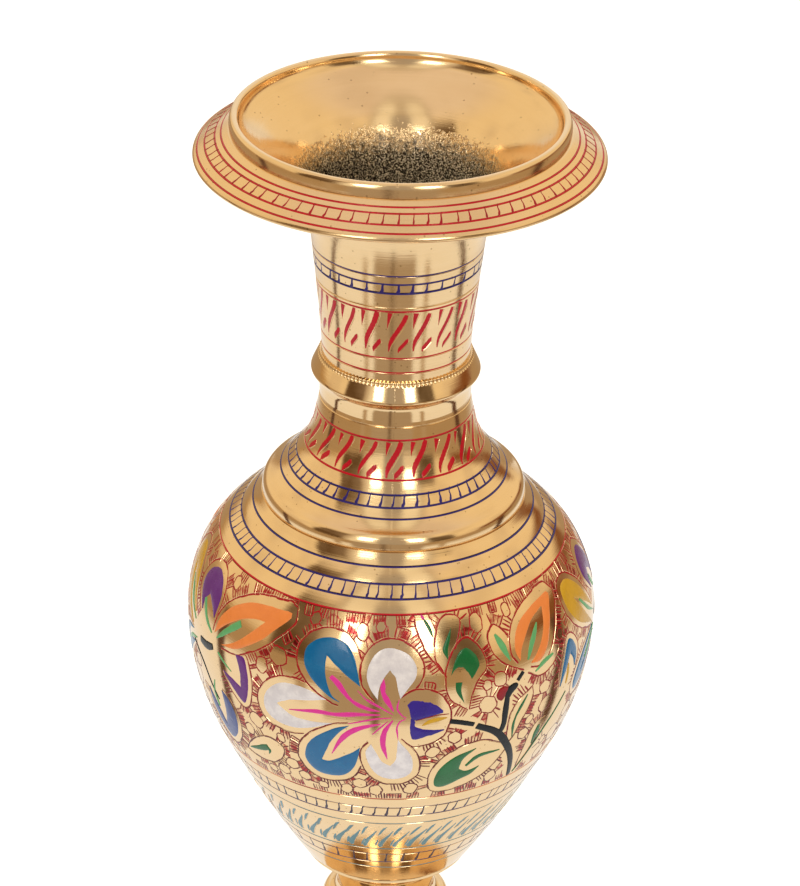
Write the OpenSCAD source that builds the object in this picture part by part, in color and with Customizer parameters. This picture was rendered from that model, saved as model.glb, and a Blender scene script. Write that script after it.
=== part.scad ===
// Tall engraved and enamelled brass flower vase, built from turned castings
// that are socketed and brazed together, with coloured lac run into the cuts.
// Millimetres. Origin at the centre of the resting face, +Z up, front is -Y.

/* [Mouth and neck] */
// outer radius of the drooping lip
lip_r = 58; // [50:0.5:66]
// outer radius of the rolled bead round the mouth
bead_r = 47.7; // [42:0.1:52]
// radius of the neck where it enters the collar
neck_r = 21.5; // [19:0.1:24]
// widest radius of the collar ring
collar_r = 24.5; // [23:0.1:28]

/* [Body] */
// widest radius of the belly
belly_r = 60.6; // [55:0.1:66]
// height of the belly's widest line
belly_h = 148; // [146:0.5:150]
// thickness of the cast wall
wall = 2.6; // [2:0.1:4]
// depth of the enamel pockets
pocket = 0.7; // [0.4:0.1:1]

/* [Foot] */
// outer radius of the foot rim
foot_r = 41.5; // [36:0.5:46]
// radius of the waist of the stem
waist_r = 14.6; // [12:0.1:18]

/* [Engraving] */
// width of a turned line
line_w = 0.7; // [0.4:0.1:1]
// depth of a turned line
line_d = 0.35; // [0.2:0.05:0.6]
// slashes round the neck
neck_slashes = 20; // [12:1:28]
// slashes round the neck below the collar
flare_slashes = 20; // [12:1:28]
// slashes round the foot of the belly
teal_slashes = 36; // [20:1:44]
// number of notches in the brim of the collar
knurls = 72; // [48:1:96]

/* [Hidden] */
seg = 180;
up_r = 40;                 // arc above the widest line
mid_r = 86;                // arc just below it
low_r = 420;               // nearly straight arc of the lower belly
mid_h = 112;               // where the two lower arcs meet
base_h = 63.9;             // lower edge of the belly
top_h = 180;               // where the upper arc gives way to the shoulder
mid_a = asin((belly_h - mid_h) / mid_r);
mid_x = belly_r - mid_r + sqrt(mid_r*mid_r - (belly_h - mid_h)*(belly_h - mid_h));

function belly(h, t = 0) =
    h > belly_h ? belly_r - up_r + sqrt((up_r - t)*(up_r - t) - (h - belly_h)*(h - belly_h))
    : h > mid_h ? belly_r - mid_r + sqrt((mid_r - t)*(mid_r - t) - (h - belly_h)*(h - belly_h))
    : mid_x - low_r*cos(mid_a) + sqrt((low_r - t)*(low_r - t) - pow(h - mid_h - low_r*sin(mid_a), 2));

// a cubic curve through four control points, as n + 1 points
function curve(a, b, c, d, n = 10) =
    [for (i = [0:n]) let (t = i/n, s = 1 - t)
        s*s*s*a + 3*s*s*t*b + 3*s*t*t*c + t*t*t*d];

// ---- outlines shared by the pieces that touch ----------------------------

module disc(x, y, r) translate([x, y]) circle(r, $fn = 240);
module band(h0, h1, w = 70) translate([0, h0]) square([w, h1 - h0]);

// half outline of the belly, drawn in by t: a true arc above the widest line,
// short straight cuts of the tool below it
lowSteps = [for (i = [0:8]) base_h + (mid_h - base_h)*i/8];
midSteps = [for (i = [1:12]) mid_h + (belly_h - mid_h)*i/12];

module bellyArea(t = 0) {
    intersection() { disc(belly_r - up_r, belly_h, up_r - t); band(belly_h, top_h); }
    polygon(concat([[0, base_h]], [for (h = concat(lowSteps, midSteps)) [belly(h, t), h]], [[0, belly_h]]));
}

// a square-cut turned line at radius r, height h, on a wall leaning by a
module cut(r, h, a) translate([r, h]) rotate(a) square([2*line_d, line_w], center = true);

module lipCuts() for (k = [0.25, 0.40, 0.67, 0.92])
    cut(bead_r + (lip_r - bead_r)*k, 301 - 7*k, -34 + 90);
module neckNavyCuts() { cut(24.42, 266, -6); cut(24.05, 263, -5.5); cut(23.72, 259.8, -5.5); cut(23.18, 254.9, -5); }
module neckRedCuts() { cut(23.1, 253.9, -5); cut(21.68, 239.7, -3); cut(21.52, 236, -2); }
module flareRedCuts() { cut(22.68, 214.5, 9); cut(26.0, 204.3, 31); }
module flareNavyCuts() { cut(27.86, 200.8, 39); cut(30.12, 197.9, 39); cut(32.7, 194.7, 42); }
module shoulderCuts() { cut(41.2, 183.7, 46); cut(44.95, 179.7, 52); cut(48.3, 176.9, 46); }
module friezeTopCuts() cut(belly(174), 174, 40.5);
module friezeLowCuts() cut(belly(112.2), 112.2, -24.7);
module lowNavyCuts() { cut(belly(107.6), 107.6, -25.4); cut(belly(103.2), 103.2, -26); cut(belly(81.4), 81.4, -29.2); cut(belly(76.6), 76.6, -30); }
module tealCuts() { cut(belly(99), 99, -26.7); cut(belly(84.5), 84.5, -28.8); cut(belly(73.2), 73.2, -30.4); }

// ---- whole turned outlines, before the cuts ------------------------------

module trumpetArea() polygon(concat(
    [[19.1, 228.1], [21.4, 228.1]],
    curve([neck_r - 0.05, 232], [neck_r + 0.1, 242], [23.6, 258], [24.6, 267.3], 12),
    curve([24.6, 267.3], [25.9, 278], [29.5, 286], [38, 291.8], 12),
    [[44.4, 295.6], [47, 297.4], [47, 301], [bead_r, 301.05]],
    curve([bead_r, 301.05], [bead_r + 0.25, 304], [bead_r - 0.2, 305], [46.4, 305], 6),
    curve([46.4, 305], [45.5, 305], [45.15, 304.6], [45.1, 303.4], 5),
    curve([45.1, 303.4], [44.9, 301.6], [43, 300.3], [40, 298.4], 6),
    curve([40, 298.4], [33.5, 294.6], [29, 290], [26.4, 283], 10),
    curve([26.4, 283], [22, 270], [19.7, 246], [19.1, 228.1], 12)));

module lipArea() polygon(concat(
    [[47.1, 297.5], [47.1, 301], [bead_r, 301]],
    curve([bead_r, 301], [51, 299.2], [54.6, 296.5], [lip_r - 0.7, 294.5], 8),
    curve([lip_r - 0.7, 294.5], [lip_r, 294], [lip_r, 293.2], [lip_r - 0.6, 292.8], 5),
    curve([lip_r - 1, 292.6], [54, 294.2], [51, 296.2], [48.6, 297.3], 6)));

module collarArea() polygon(concat(
    [[21.5, 232.4], [22.2, 232.4], [22.3, 231.8]],
    curve([22.3, 231.8], [23.1, 230.2], [23.8, 228.8], [collar_r - 0.1, 227.3], 8),
    curve([collar_r - 0.1, 227.3], [collar_r + 0.1, 226.7], [collar_r - 0.1, 226.2], [23.6, 225.8], 5),
    curve([23.6, 225.8], [22.6, 225.3], [22.1, 224.2], [22.0, 222.4], 5),
    [[22.0, 219.7], [20.5, 219.7], [20.5, 223.9], [18.9, 223.9], [18.9, 227.9], [21.5, 227.9]]));

module flareArea() polygon(concat(
    [[18.4, 223.6], [20.4, 223.6], [20.4, 219.6], [21.8, 219.6], [21.9, 218.6]],
    curve([21.9, 218.6], [23.2, 212], [23.6, 206.5], [27.6, 201.2], 12),
    curve([27.6, 201.2], [30.2, 197.8], [32.9, 194.2], [36.3, 191.9], 8),
    curve([36.3, 191.9], [38.2, 190.9], [38.6, 189.4], [38.5, 187.3], 6),
    [[38.2, 186.9], [34.4, 186.9], [34.4, 183.4], [32.2, 183.4]],
    curve([32.2, 186.9], [30.5, 190], [27.2, 194], [24.8, 198.2], 8),
    curve([24.8, 198.2], [20.6, 204], [19.6, 212], [18.4, 223.6], 8)));

module upperArea() {
    difference() {
        union() {
            bellyArea();
            polygon([[30, 178], [belly(top_h) - 0.001, 180], [belly(top_h), 180], [41.2, 183.7], [38.6, 186.8], [30, 186.8]]);
        }
        bellyArea(wall);
        polygon([[0, 170], [46.5, 170], [44.1, 175.2], [41, 178.6], [38, 181.3], [34.5, 183.3], [34.5, 190], [0, 190]]);
        band(0, belly_h);
        translate([0, belly_h]) square([belly_r - wall/2, 2.6]);
    }
}

module lowerArea() {
    difference() {
        union() {
            intersection() { bellyArea(); band(0, belly_h); }
            translate([belly_r - wall, belly_h - 0.01]) square([wall/2 - 0.05, 2.51]);
        }
        intersection() { bellyArea(wall); band(69, belly_h + 0.1); }
        translate([0, 60]) square([9.1, 20]);
    }
}

// ---- enamel outlines -----------------------------------------------------

// pointed oval, length l, width w
module lens(l, w) {
    r = (l*l/4 + w*w/4)/w;
    intersection() {
        translate([0, r - w/2]) circle(r, $fn = seg);
        translate([0, -r + w/2]) circle(r, $fn = seg);
    }
}

// a prism standing on the belly at angle az, height h, leaning by lean
module peg(az, h, lean, l, w) rotate([0, 0, az]) translate([0, -38, h])
    rotate([90, 0, 0]) linear_extrude(30) rotate(lean) lens(l, w);

bigAt = [2, 148];                 // middles of the large flowers
smallAt = [78, 224, 298];         // middles of the small flowers

module bluePegs() for (a = bigAt) { peg(a - 16, 160.2, 125, 15, 9); peg(a - 17, 129.3, 232, 16, 8); }
module whitePegs() for (a = bigAt) { peg(a - 0.5, 161, 92, 11, 9); peg(a - 28, 144.8, 172, 16, 11); peg(a + 0, 127.3, 268, 10, 9); }
module indigoPegs() for (a = bigAt) peg(a + 9.5, 143.4, -8, 13, 9);
module greenPegs() { for (a = bigAt) { peg(a + 19.5, 159.8, 75, 10, 6.5); peg(a + 20, 123, 40, 15, 6); } for (a = smallAt) peg(a + 18, 121, 20, 8, 3.5); }
module orangePegs() { for (a = bigAt) peg(a + 44, 161.5, 50, 20, 8); for (a = smallAt) peg(a + 17, 162, 30, 21, 9); }
module violetPegs() for (a = smallAt) { peg(a - 5, 164, 100, 13, 7); peg(a + 17, 146, -70, 13, 5); }
module slatePegs() for (a = smallAt) { peg(a + 2, 126.5, -70, 14, 7); peg(a - 14, 131, -130, 12, 6); }
module yellowPegs() for (a = smallAt) peg(a - 17, 156, 150, 13, 7);
module allPegs() { bluePegs(); whitePegs(); indigoPegs(); greenPegs(); orangePegs(); violetPegs(); slatePegs(); yellowPegs(); }

module solidOf(t) rotate_extrude($fn = seg) bellyArea(t);

// the part of each prism that lies in the skin of the belly
module enamel() difference() {
    intersection() { children(); solidOf(0); }
    solidOf(pocket);
}

// slanted bars round a wall of radius r
module bars(n, h, r, tall, wide, lean, tilt) for (i = [0:n - 1])
    rotate([0, 0, i*360/n]) translate([0, -r, h]) rotate([tilt, 0, 0]) rotate([0, lean, 0])
        cube([wide, 2*line_d + 0.5, tall], center = true);

module neckBars() bars(neck_slashes, 247, 22.3, 9, 1.3, 24, 5);
module flareBars() bars(flare_slashes, 209.6, 23.62, 8, 1.3, 24, -16);
module tealBars() bars(teal_slashes, 91.5, belly(91.5) - 0.1, 11.5, 1.2, 26, 27.5);

module ring2D() rotate_extrude($fn = seg) children();

// ---- pieces --------------------------------------------------------------

module mouth_neck() color("gold") difference() {
    ring2D() difference() { trumpetArea(); neckNavyCuts(); neckRedCuts(); }
    neckBars();
}

module lip_ring() color("goldenrod") ring2D() difference() { lipArea(); lipCuts(); }

module neck_collar() color("khaki") difference() {
    ring2D() collarArea();
    for (i = [0:knurls - 1]) rotate([0, 0, i*360/knurls])
        translate([0, -22.35, 232.2]) rotate([0, 0, 45]) cube([0.5, 0.5, 1.3], center = true);
}

module shoulder_neck() color("gold") difference() {
    ring2D() difference() { flareArea(); flareRedCuts(); flareNavyCuts(); }
    flareBars();
}

module body_upper() color("goldenrod") difference() {
    ring2D() difference() { upperArea(); shoulderCuts(); friezeTopCuts(); }
    difference() { allPegs(); solidOf(pocket); }
}

module body_lower() color("gold") difference() {
    ring2D() difference() { lowerArea(); friezeLowCuts(); lowNavyCuts(); tealCuts(); }
    difference() { allPegs(); solidOf(pocket); }
    tealBars();
}

// turned stem: its plug closes the floor of the belly, its lower spigot is cored out
module stem() color("khaki") ring2D() polygon(concat(
    [[0, 60], [0, 72], [9, 72], [9, 63.8], [25.4, 63.8], [25.9, 63.2], [25.6, 62.2]],
    curve([25.6, 62.2], [20.5, 60], [15.4, 55], [waist_r, 46], 14),
    curve([waist_r, 46], [waist_r + 0.3, 43.5], [16.5, 42.6], [17.6, 42.4], 5),
    curve([17.6, 42.4], [20.6, 42], [20.6, 36.2], [17.6, 36], 10),
    [[16.4, 35.9], [16.4, 33.1], [12.5, 33.1], [12.5, 26.1], [7.5, 26.1], [7.5, 56]]));

module foot() color("goldenrod") ring2D() polygon(concat(
    [[12.6, 33], [16.8, 33]],
    curve([16.8, 33], [18.5, 22], [26, 14.5], [foot_r - 4.4, 10.2], 14),
    curve([foot_r - 4.4, 10.2], [foot_r - 1.5, 9.4], [foot_r, 7.5], [foot_r, 5], 6),
    [[foot_r, 0.8], [foot_r - 0.8, 0], [foot_r - 5.5, 0], [foot_r - 6, 4]],
    curve([foot_r - 6.5, 6], [25, 11], [18, 18], [14.5, 26], 12),
    [[12.6, 26]]));

module braze_lip() color("silver") ring2D() polygon([[47.0, 297.35], [48.5, 297.2], [47.05, 296.0], [46.6, 297.1]]);
module braze_neck() color("silver") ring2D() translate([18.95, 227.9]) square([2.5, 0.2]);
module braze_flare() color("silver") ring2D() translate([34.42, 186.8]) square([3.9, 0.1]);
module braze_belly() color("silver") ring2D() translate([belly_r - wall, 150.5]) square([1.2, 0.1]);
module braze_foot() color("silver") ring2D() translate([12.55, 32.98]) polygon([[0, 0.1], [0, 0.02], [3.8, 0.02], [3.8, 0.1]]);

module lac_lip_red() color("crimson") ring2D() intersection() { lipArea(); lipCuts(); }
module lac_neck_navy() color("navy") ring2D() intersection() { trumpetArea(); neckNavyCuts(); }
module lac_neck_red() color("crimson") ring2D() intersection() { trumpetArea(); neckRedCuts(); }
module lac_neck_slashes() color("crimson") intersection() { neckBars(); ring2D() trumpetArea(); }
module lac_flare_red() color("crimson") ring2D() intersection() { flareArea(); flareRedCuts(); }
module lac_flare_slashes() color("crimson") intersection() { flareBars(); ring2D() flareArea(); }
module lac_flare_navy() color("navy") ring2D() intersection() { flareArea(); flareNavyCuts(); }
module lac_shoulder_navy() color("navy") ring2D() intersection() { upperArea(); shoulderCuts(); }
module lac_frieze_top_red() color("crimson") ring2D() intersection() { upperArea(); friezeTopCuts(); }
module lac_frieze_low_red() color("crimson") ring2D() intersection() { lowerArea(); friezeLowCuts(); }
module lac_low_navy() color("navy") ring2D() intersection() { lowerArea(); lowNavyCuts(); }
module lac_low_lines() color("teal") ring2D() intersection() { lowerArea(); tealCuts(); }
module lac_teal_slashes() color("teal") intersection() { tealBars(); ring2D() lowerArea(); }

module enamel_blue() color("dodgerblue") enamel() bluePegs();
module enamel_white() color("white") enamel() whitePegs();
module enamel_indigo() color("indigo") enamel() indigoPegs();
module enamel_green() color("green") enamel() greenPegs();
module enamel_orange() color("orange") enamel() orangePegs();
module enamel_violet() color("purple") enamel() violetPegs();
module enamel_slate() color("slateblue") enamel() slatePegs();
module enamel_yellow() color("yellow") enamel() yellowPegs();

mouth_neck();
lip_ring();
neck_collar();
shoulder_neck();
body_upper();
body_lower();
stem();
foot();
braze_lip();
braze_neck();
braze_flare();
braze_belly();
braze_foot();
lac_lip_red();
lac_neck_navy();
lac_neck_red();
lac_neck_slashes();
lac_flare_red();
lac_flare_slashes();
lac_flare_navy();
lac_shoulder_navy();
lac_frieze_top_red();
lac_frieze_low_red();
lac_low_navy();
lac_low_lines();
lac_teal_slashes();
enamel_blue();
enamel_white();
enamel_indigo();
enamel_green();
enamel_orange();
enamel_violet();
enamel_slate();
enamel_yellow();
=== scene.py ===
import math
import bmesh
import bpy
import numpy as np
from mathutils import Matrix


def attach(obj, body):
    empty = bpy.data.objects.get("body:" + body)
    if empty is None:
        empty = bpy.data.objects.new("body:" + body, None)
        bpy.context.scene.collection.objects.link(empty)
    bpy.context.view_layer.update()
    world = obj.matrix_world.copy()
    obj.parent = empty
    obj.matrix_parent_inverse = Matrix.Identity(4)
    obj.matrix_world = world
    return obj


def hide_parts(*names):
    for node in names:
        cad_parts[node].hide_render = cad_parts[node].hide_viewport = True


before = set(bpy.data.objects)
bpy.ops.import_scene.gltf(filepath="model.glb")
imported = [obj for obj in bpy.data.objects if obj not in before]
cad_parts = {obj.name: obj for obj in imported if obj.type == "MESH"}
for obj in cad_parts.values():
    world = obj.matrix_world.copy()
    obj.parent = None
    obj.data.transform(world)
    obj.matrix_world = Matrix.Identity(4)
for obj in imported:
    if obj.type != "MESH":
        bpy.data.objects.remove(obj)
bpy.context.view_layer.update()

mm = 0.001
rng = np.random.default_rng(23)
bellyWide = 60.6          # radius at the widest line, mm
scene = bpy.context.scene


# curves and outlines, all in mm as (radius, height)

# cubic curve: s^3 a + 3 s^2 t b + 3 s t^2 c + t^3 d, with s = 1 - t
def curve(a, b, c, d, n=24):
    t = np.linspace(0, 1, n)[:, None]
    s = 1 - t
    return s**3 * np.array(a) + 3*s*s*t * np.array(b) + 3*s*t*t * np.array(c) + t**3 * np.array(d)


# belly radius at a height: three circles that meet smoothly
def bellyRadius(h):
    low = -328.7 + np.sqrt(np.maximum(420.0**2 - (h - 287.8)**2, 0))
    mid = bellyWide - 86 + np.sqrt(np.maximum(86.0**2 - (h - 148)**2, 0))
    top = bellyWide - 40 + np.sqrt(np.maximum(40.0**2 - (h - 148)**2, 0))
    return np.where(h > 148, top, np.where(h > 112, mid, low))


# outlines put end to end, without repeated points
def join(*parts):
    p = np.concatenate([np.atleast_2d(np.array(q, float)) for q in parts])
    keep = np.r_[True, np.hypot(*np.diff(p, axis=0).T) > 1e-4]
    return p[keep]


# distance run along an outline
def runOf(p):
    return np.r_[0, np.cumsum(np.hypot(*np.diff(p, axis=0).T))]


# outline redrawn with even steps plus close steps at each turned line, and pushed in there:
# push = depth * (1 - x^4) with x the distance from the line over its half width
def turned(p, lines, step=0.8, width=0.36, depth=0.28):
    s = runOf(p)
    at = np.array([s[np.argmin(np.hypot(p[:, 0] - q[0], p[:, 1] - q[1]))] for q in lines]) if len(lines) else np.zeros(0)
    near = (at[:, None] + width*np.array([-1.15, -1, -0.85, -0.6, -0.2, 0.2, 0.6, 0.85, 1, 1.15])).ravel()
    even = np.linspace(0, s[-1], int(s[-1]/step) + 2)
    if len(at):
        even = even[np.min(np.abs(even[:, None] - at), axis=1) > width*1.3]
    u = np.unique(np.clip(np.r_[even, near], 0, s[-1]))
    r, h = np.interp(u, s, p[:, 0]), np.interp(u, s, p[:, 1])
    dr, dh = np.gradient(r, u), np.gradient(h, u)
    size = np.hypot(dr, dh)
    x = np.abs(u[:, None] - at)/width if len(at) else np.ones((len(u), 1))*9
    push = depth*np.max(np.clip(1 - x**4, 0, 1), axis=1)
    return np.stack([r - push*dh/size, h + push*dr/size], 1)


# meshes

# mesh from points and any number of face tables; every table is (faces, corners)
def makePiece(name, points, tables, material, crease=38, uv=None):
    mesh = bpy.data.meshes.new(name)
    sizes = np.concatenate([np.full(len(t), t.shape[1]) for t in tables])
    corners = np.concatenate([t.ravel() for t in tables]).astype(np.int32)
    mesh.vertices.add(len(points))
    mesh.vertices.foreach_set("co", (np.asarray(points)*mm).astype(np.float32).ravel())
    mesh.loops.add(len(corners))
    mesh.loops.foreach_set("vertex_index", corners)
    mesh.polygons.add(len(sizes))
    mesh.polygons.foreach_set("loop_start", np.r_[0, np.cumsum(sizes)[:-1]].astype(np.int32))
    mesh.polygons.foreach_set("loop_total", sizes.astype(np.int32))
    mesh.polygons.foreach_set("use_smooth", np.ones(len(sizes), bool))
    mesh.update(calc_edges=True)
    if uv is not None:
        layer = mesh.uv_layers.new(name="turn")
        layer.data.foreach_set("uv", uv[corners].astype(np.float32).ravel())
    mesh.set_sharp_from_angle(angle=math.radians(crease))
    mesh.materials.append(material)
    piece = bpy.data.objects.new(name, mesh)
    scene.collection.objects.link(piece)
    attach(piece, "root")
    return piece


# closed outline turned about the axis: x = r sin a, y = -r cos a, z = h
def lathe(name, outline, material, replaced=(), sides=360, crease=38):
    p = np.asarray(outline, float)
    area = np.sum(p[:, 0]*np.roll(p[:, 1], -1) - np.roll(p[:, 0], -1)*p[:, 1])
    if area < 0:
        p = p[::-1]
    a = np.linspace(0, 2*np.pi, sides, endpoint=False)
    r, h = p[:, 0][:, None], p[:, 1][:, None]
    pts = np.stack([r*np.sin(a), -r*np.cos(a), h + 0*a], -1).reshape(-1, 3)
    n = len(p)
    i, j = np.meshgrid(np.arange(n), np.arange(sides), indexing="ij")
    i2, j2 = (i + 1) % n, (j + 1) % sides
    quads = np.stack([i*sides + j, i*sides + j2, i2*sides + j2, i2*sides + j], -1).reshape(-1, 4)
    run = np.repeat(runOf(p), sides)
    uv = np.stack([np.tile(a/(2*np.pi), n), run/100], 1)
    piece = makePiece(name, pts, [quads], material, crease, uv)
    if np.any(p[:, 0] < 0.02):              # ends on the axis are welded shut
        bm = bmesh.new()
        bm.from_mesh(piece.data)
        bmesh.ops.remove_doubles(bm, verts=bm.verts, dist=2e-6)
        bm.to_mesh(piece.data)
        bm.free()
    if replaced:
        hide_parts(*replaced)
    return piece


# a wall that marks are laid on: radius and height against one rising number
def wallOf(key, r, h, ref):
    dr, dh = np.gradient(r, key), np.gradient(h, key)
    size = np.hypot(dr, dh)
    side = 1 if np.mean(dh) > 0 or np.mean(np.abs(dh)) < 1e-6 else -1
    return {"key": key, "r": r, "h": h, "nr": side*dh/size, "nh": -side*dr/size, "ref": ref}


# a flat drawing (x along the girth, y the wall's key) wrapped on a wall and raised by lift:
# angle = x / ref, point = (r + lift nr) at that angle, height h + lift nh
def wrap(wall, x, y, lift):
    r, h = np.interp(y, wall["key"], wall["r"]), np.interp(y, wall["key"], wall["h"])
    r = r + lift*np.interp(y, wall["key"], wall["nr"])
    h = h + lift*np.interp(y, wall["key"], wall["nh"])
    a = x/wall["ref"]
    return np.stack([r*np.sin(a), -r*np.cos(a), h], -1)


# many pads between two edges, edge arrays (pads, steps, 2); the section is an oval:
# across = (1 - cos q)/2 from one edge to the other, lift = high*sin q^round above, -sink below
def pads(name, wall, edgeA, edgeB, material, slotName, high=0.1, sink=0.25, around=4, full=0.6, replaced=()):
    n, m = edgeA.shape[:2]
    turn = np.sum((edgeB[:, 1:-1] - edgeA[:, 1:-1])[..., 0]*np.gradient(edgeA[..., 1], axis=1)[:, 1:-1]
                  - (edgeB[:, 1:-1] - edgeA[:, 1:-1])[..., 1]*np.gradient(edgeA[..., 0], axis=1)[:, 1:-1], axis=1)
    swap = (turn < 0)[:, None, None]
    edgeA, edgeB = np.where(swap, edgeB, edgeA), np.where(swap, edgeA, edgeB)
    q = np.arange(around)*2*np.pi/around
    across = ((1 - np.cos(q))/2)[None, None, :, None]
    flat = edgeA[:, :, None]*(1 - across) + edgeB[:, :, None]*across
    up = np.where(np.sin(q) > 1e-6, high*np.abs(np.sin(q))**full, np.where(np.sin(q) < -1e-6, -sink, -0.012))
    pts = wrap(wall, flat[..., 0], flat[..., 1], np.broadcast_to(up, flat.shape[:3])).reshape(-1, 3)
    k = around
    a, i, j = np.meshgrid(np.arange(n), np.arange(m - 1), np.arange(k), indexing="ij")
    j2 = (j + 1) % k
    base = a*m*k
    quads = np.stack([base + i*k + j, base + (i + 1)*k + j, base + (i + 1)*k + j2, base + i*k + j2], -1).reshape(-1, 4)
    ends = np.arange(n)[:, None]*m*k + np.arange(k)[None]
    tables = [quads, ends, (ends + (m - 1)*k)[:, ::-1]]
    piece = makePiece(name, pts, tables, material, crease=60)
    if replaced:
        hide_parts(*replaced)
    return piece


# unit normals of paths (strokes, steps, 2)
def sideways(path):
    d = np.gradient(path, axis=1)
    return np.stack([-d[..., 1], d[..., 0]], -1)/np.maximum(np.hypot(d[..., 0], d[..., 1]), 1e-9)[..., None]


# the two edges of strokes that follow paths (strokes, steps, 2) with a half width at each step:
# edge = path +- half width * (unit normal of the path)
def strokeEdges(path, half):
    side = sideways(path)*np.asarray(half)[..., None]
    return path + side, path - side


# half width that swells in the middle: w * sin(pi t)^p
def swell(w, t, p):
    return w*np.maximum(np.sin(np.pi*t)**p, 0.08)


# polyline redrawn with m even steps
def evenly(points, m):
    p = np.array(points, float)
    s = runOf(p)
    t = np.linspace(0, s[-1], m)
    return np.stack([np.interp(t, s, p[:, 0]), np.interp(t, s, p[:, 1])], 1)


# smooth line through a few points (Catmull-Rom, all segments at once)
def smoothLine(points, m):
    p = np.array(points, float)
    q = np.concatenate([2*p[:1] - p[1:2], p, 2*p[-1:] - p[-2:-1]])
    t = np.linspace(0, 1, 9)[None, :, None]
    a, b, c, d = (q[i:len(q) - 3 + i, None] for i in range(4))
    line = 0.5*(2*b + (c - a)*t + (2*a - 5*b + 4*c - d)*t**2 + (3*b - a - 3*c + d)*t**3)
    return evenly(np.concatenate([line[:, :-1].reshape(-1, 2), p[-1:]]), m)


# shader groups

def newGroup(name, inputs, outputs):
    tree = bpy.data.node_groups.new(name, "ShaderNodeTree")
    for label, value in inputs.items():
        kind = "NodeSocketVector" if value is None else "NodeSocketFloat"
        socket = tree.interface.new_socket(name=label, in_out="INPUT", socket_type=kind)
        if value is not None:
            socket.default_value = value
    for label in outputs:
        tree.interface.new_socket(name=label, in_out="OUTPUT", socket_type="NodeSocketFloat")
    return tree, tree.nodes.new("NodeGroupInput").outputs, tree.nodes.new("NodeGroupOutput").inputs


# keys that begin with in_ name a socket, which takes a value or a link; other keys are settings of the node
def fill(tree, node, **values):
    for key, value in values.items():
        if not key.startswith("in_"):
            setattr(node, key, value)
            continue
        key = key[3:]
        socket = node.inputs[int(key) if key.isdigit() else key.replace("_", " ")]
        if isinstance(value, bpy.types.NodeSocket):
            tree.links.new(value, socket)
        else:
            socket.default_value = value
    return node


def add(tree, kind, **values):
    return fill(tree, tree.nodes.new(kind), **values)


def mathNode(tree, operation, a, b=0.5, clamp=False):
    return add(tree, "ShaderNodeMath", operation=operation, use_clamp=clamp, in_0=a, in_1=b).outputs[0]


def times(tree, a, b):
    return mathNode(tree, "MULTIPLY", a, b)


def plus(tree, a, b):
    return mathNode(tree, "ADD", a, b)


def noiseOf(tree, vector, scale, detail, roughness=0.5):
    return add(tree, "ShaderNodeTexNoise", in_Vector=vector, in_Scale=scale, in_Detail=detail,
               in_Roughness=roughness).outputs["Fac"]


def splitOf(tree, vector):
    return add(tree, "ShaderNodeSeparateXYZ", in_0=vector).outputs


# lines left by the lathe tool: noise that is long round the girth and short up the wall
def buildTurningGroup():
    tree, given, out = newGroup("turningLines", {"Vector": None, "Fineness": 900.0, "Broad": 60.0}, ["Lines", "Bands"])
    place = splitOf(tree, given["Vector"])
    for label, roundGirth, result in (("Fineness", 6.0, "Lines"), ("Broad", 1.5, "Bands")):
        put = add(tree, "ShaderNodeCombineXYZ", in_0=times(tree, place[0], roundGirth),
                  in_1=times(tree, place[1], given[label]))
        tree.links.new(noiseOf(tree, put.outputs[0], 1.0, 3.0, 0.6), out[result])
    return tree


# specks, tarnish clouds and small handling dents, from the object's own place
def buildAgeGroup():
    tree, given, out = newGroup("handAge", {"Vector": None, "Cloud Size": 35.0, "Speck Size": 420.0, "Speck Amount": 0.5},
                                ["Clouds", "Specks", "Dents"])
    vector = given["Vector"]
    cells = add(tree, "ShaderNodeTexVoronoi", feature="F1", in_Vector=vector, in_Scale=given["Speck Size"])
    speck = mathNode(tree, "LESS_THAN", cells.outputs["Distance"], 0.11)
    gate = mathNode(tree, "GREATER_THAN", noiseOf(tree, vector, 90.0, 2.0), given["Speck Amount"])
    tree.links.new(noiseOf(tree, vector, given["Cloud Size"], 5.0, 0.62), out["Clouds"])
    tree.links.new(times(tree, speck, gate), out["Specks"])
    tree.links.new(noiseOf(tree, vector, 22.0, 2.5), out["Dents"])
    return tree


# grain of sand-cast metal: pits and bright tips, and where the skin starts along the outline
def buildCastGroup():
    tree, given, out = newGroup("castSkin", {"Vector": None, "Run": 0.0, "Grain": 2300.0, "Starts At": 1.14, "Blend": 0.07},
                                ["Grains", "Lumps", "Mask"])
    vector = given["Vector"]
    ragged = mathNode(tree, "SUBTRACT", noiseOf(tree, vector, 900.0, 4.0), 0.5)
    past = mathNode(tree, "SUBTRACT", given["Run"], given["Starts At"])
    mask = mathNode(tree, "DIVIDE", plus(tree, past, times(tree, ragged, 0.14)), given["Blend"], clamp=True)
    tree.links.new(noiseOf(tree, vector, given["Grain"], 2.0, 0.75), out["Grains"])
    tree.links.new(noiseOf(tree, vector, 160.0, 3.0), out["Lumps"])
    tree.links.new(mask, out["Mask"])
    return tree


turningGroup, ageGroup, castGroup = buildTurningGroup(), buildAgeGroup(), buildCastGroup()


def placeGroup(tree, group, vector, **values):
    values = {"in_" + key: value for key, value in values.items()}
    return add(tree, "ShaderNodeGroup", node_tree=group, in_Vector=vector, **values).outputs


def mixColour(tree, factor, a, b):
    a, b = ((*v, 1.0) if isinstance(v, tuple) else v for v in (a, b))
    return add(tree, "ShaderNodeMix", data_type="RGBA", in_0=factor, in_6=a, in_7=b).outputs[2]


def spread(tree, value, low, high, to0=0.0, to1=1.0, **how):
    return add(tree, "ShaderNodeMapRange", in_0=value, in_1=low, in_2=high, in_3=to0, in_4=to1, **how).outputs[0]


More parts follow.
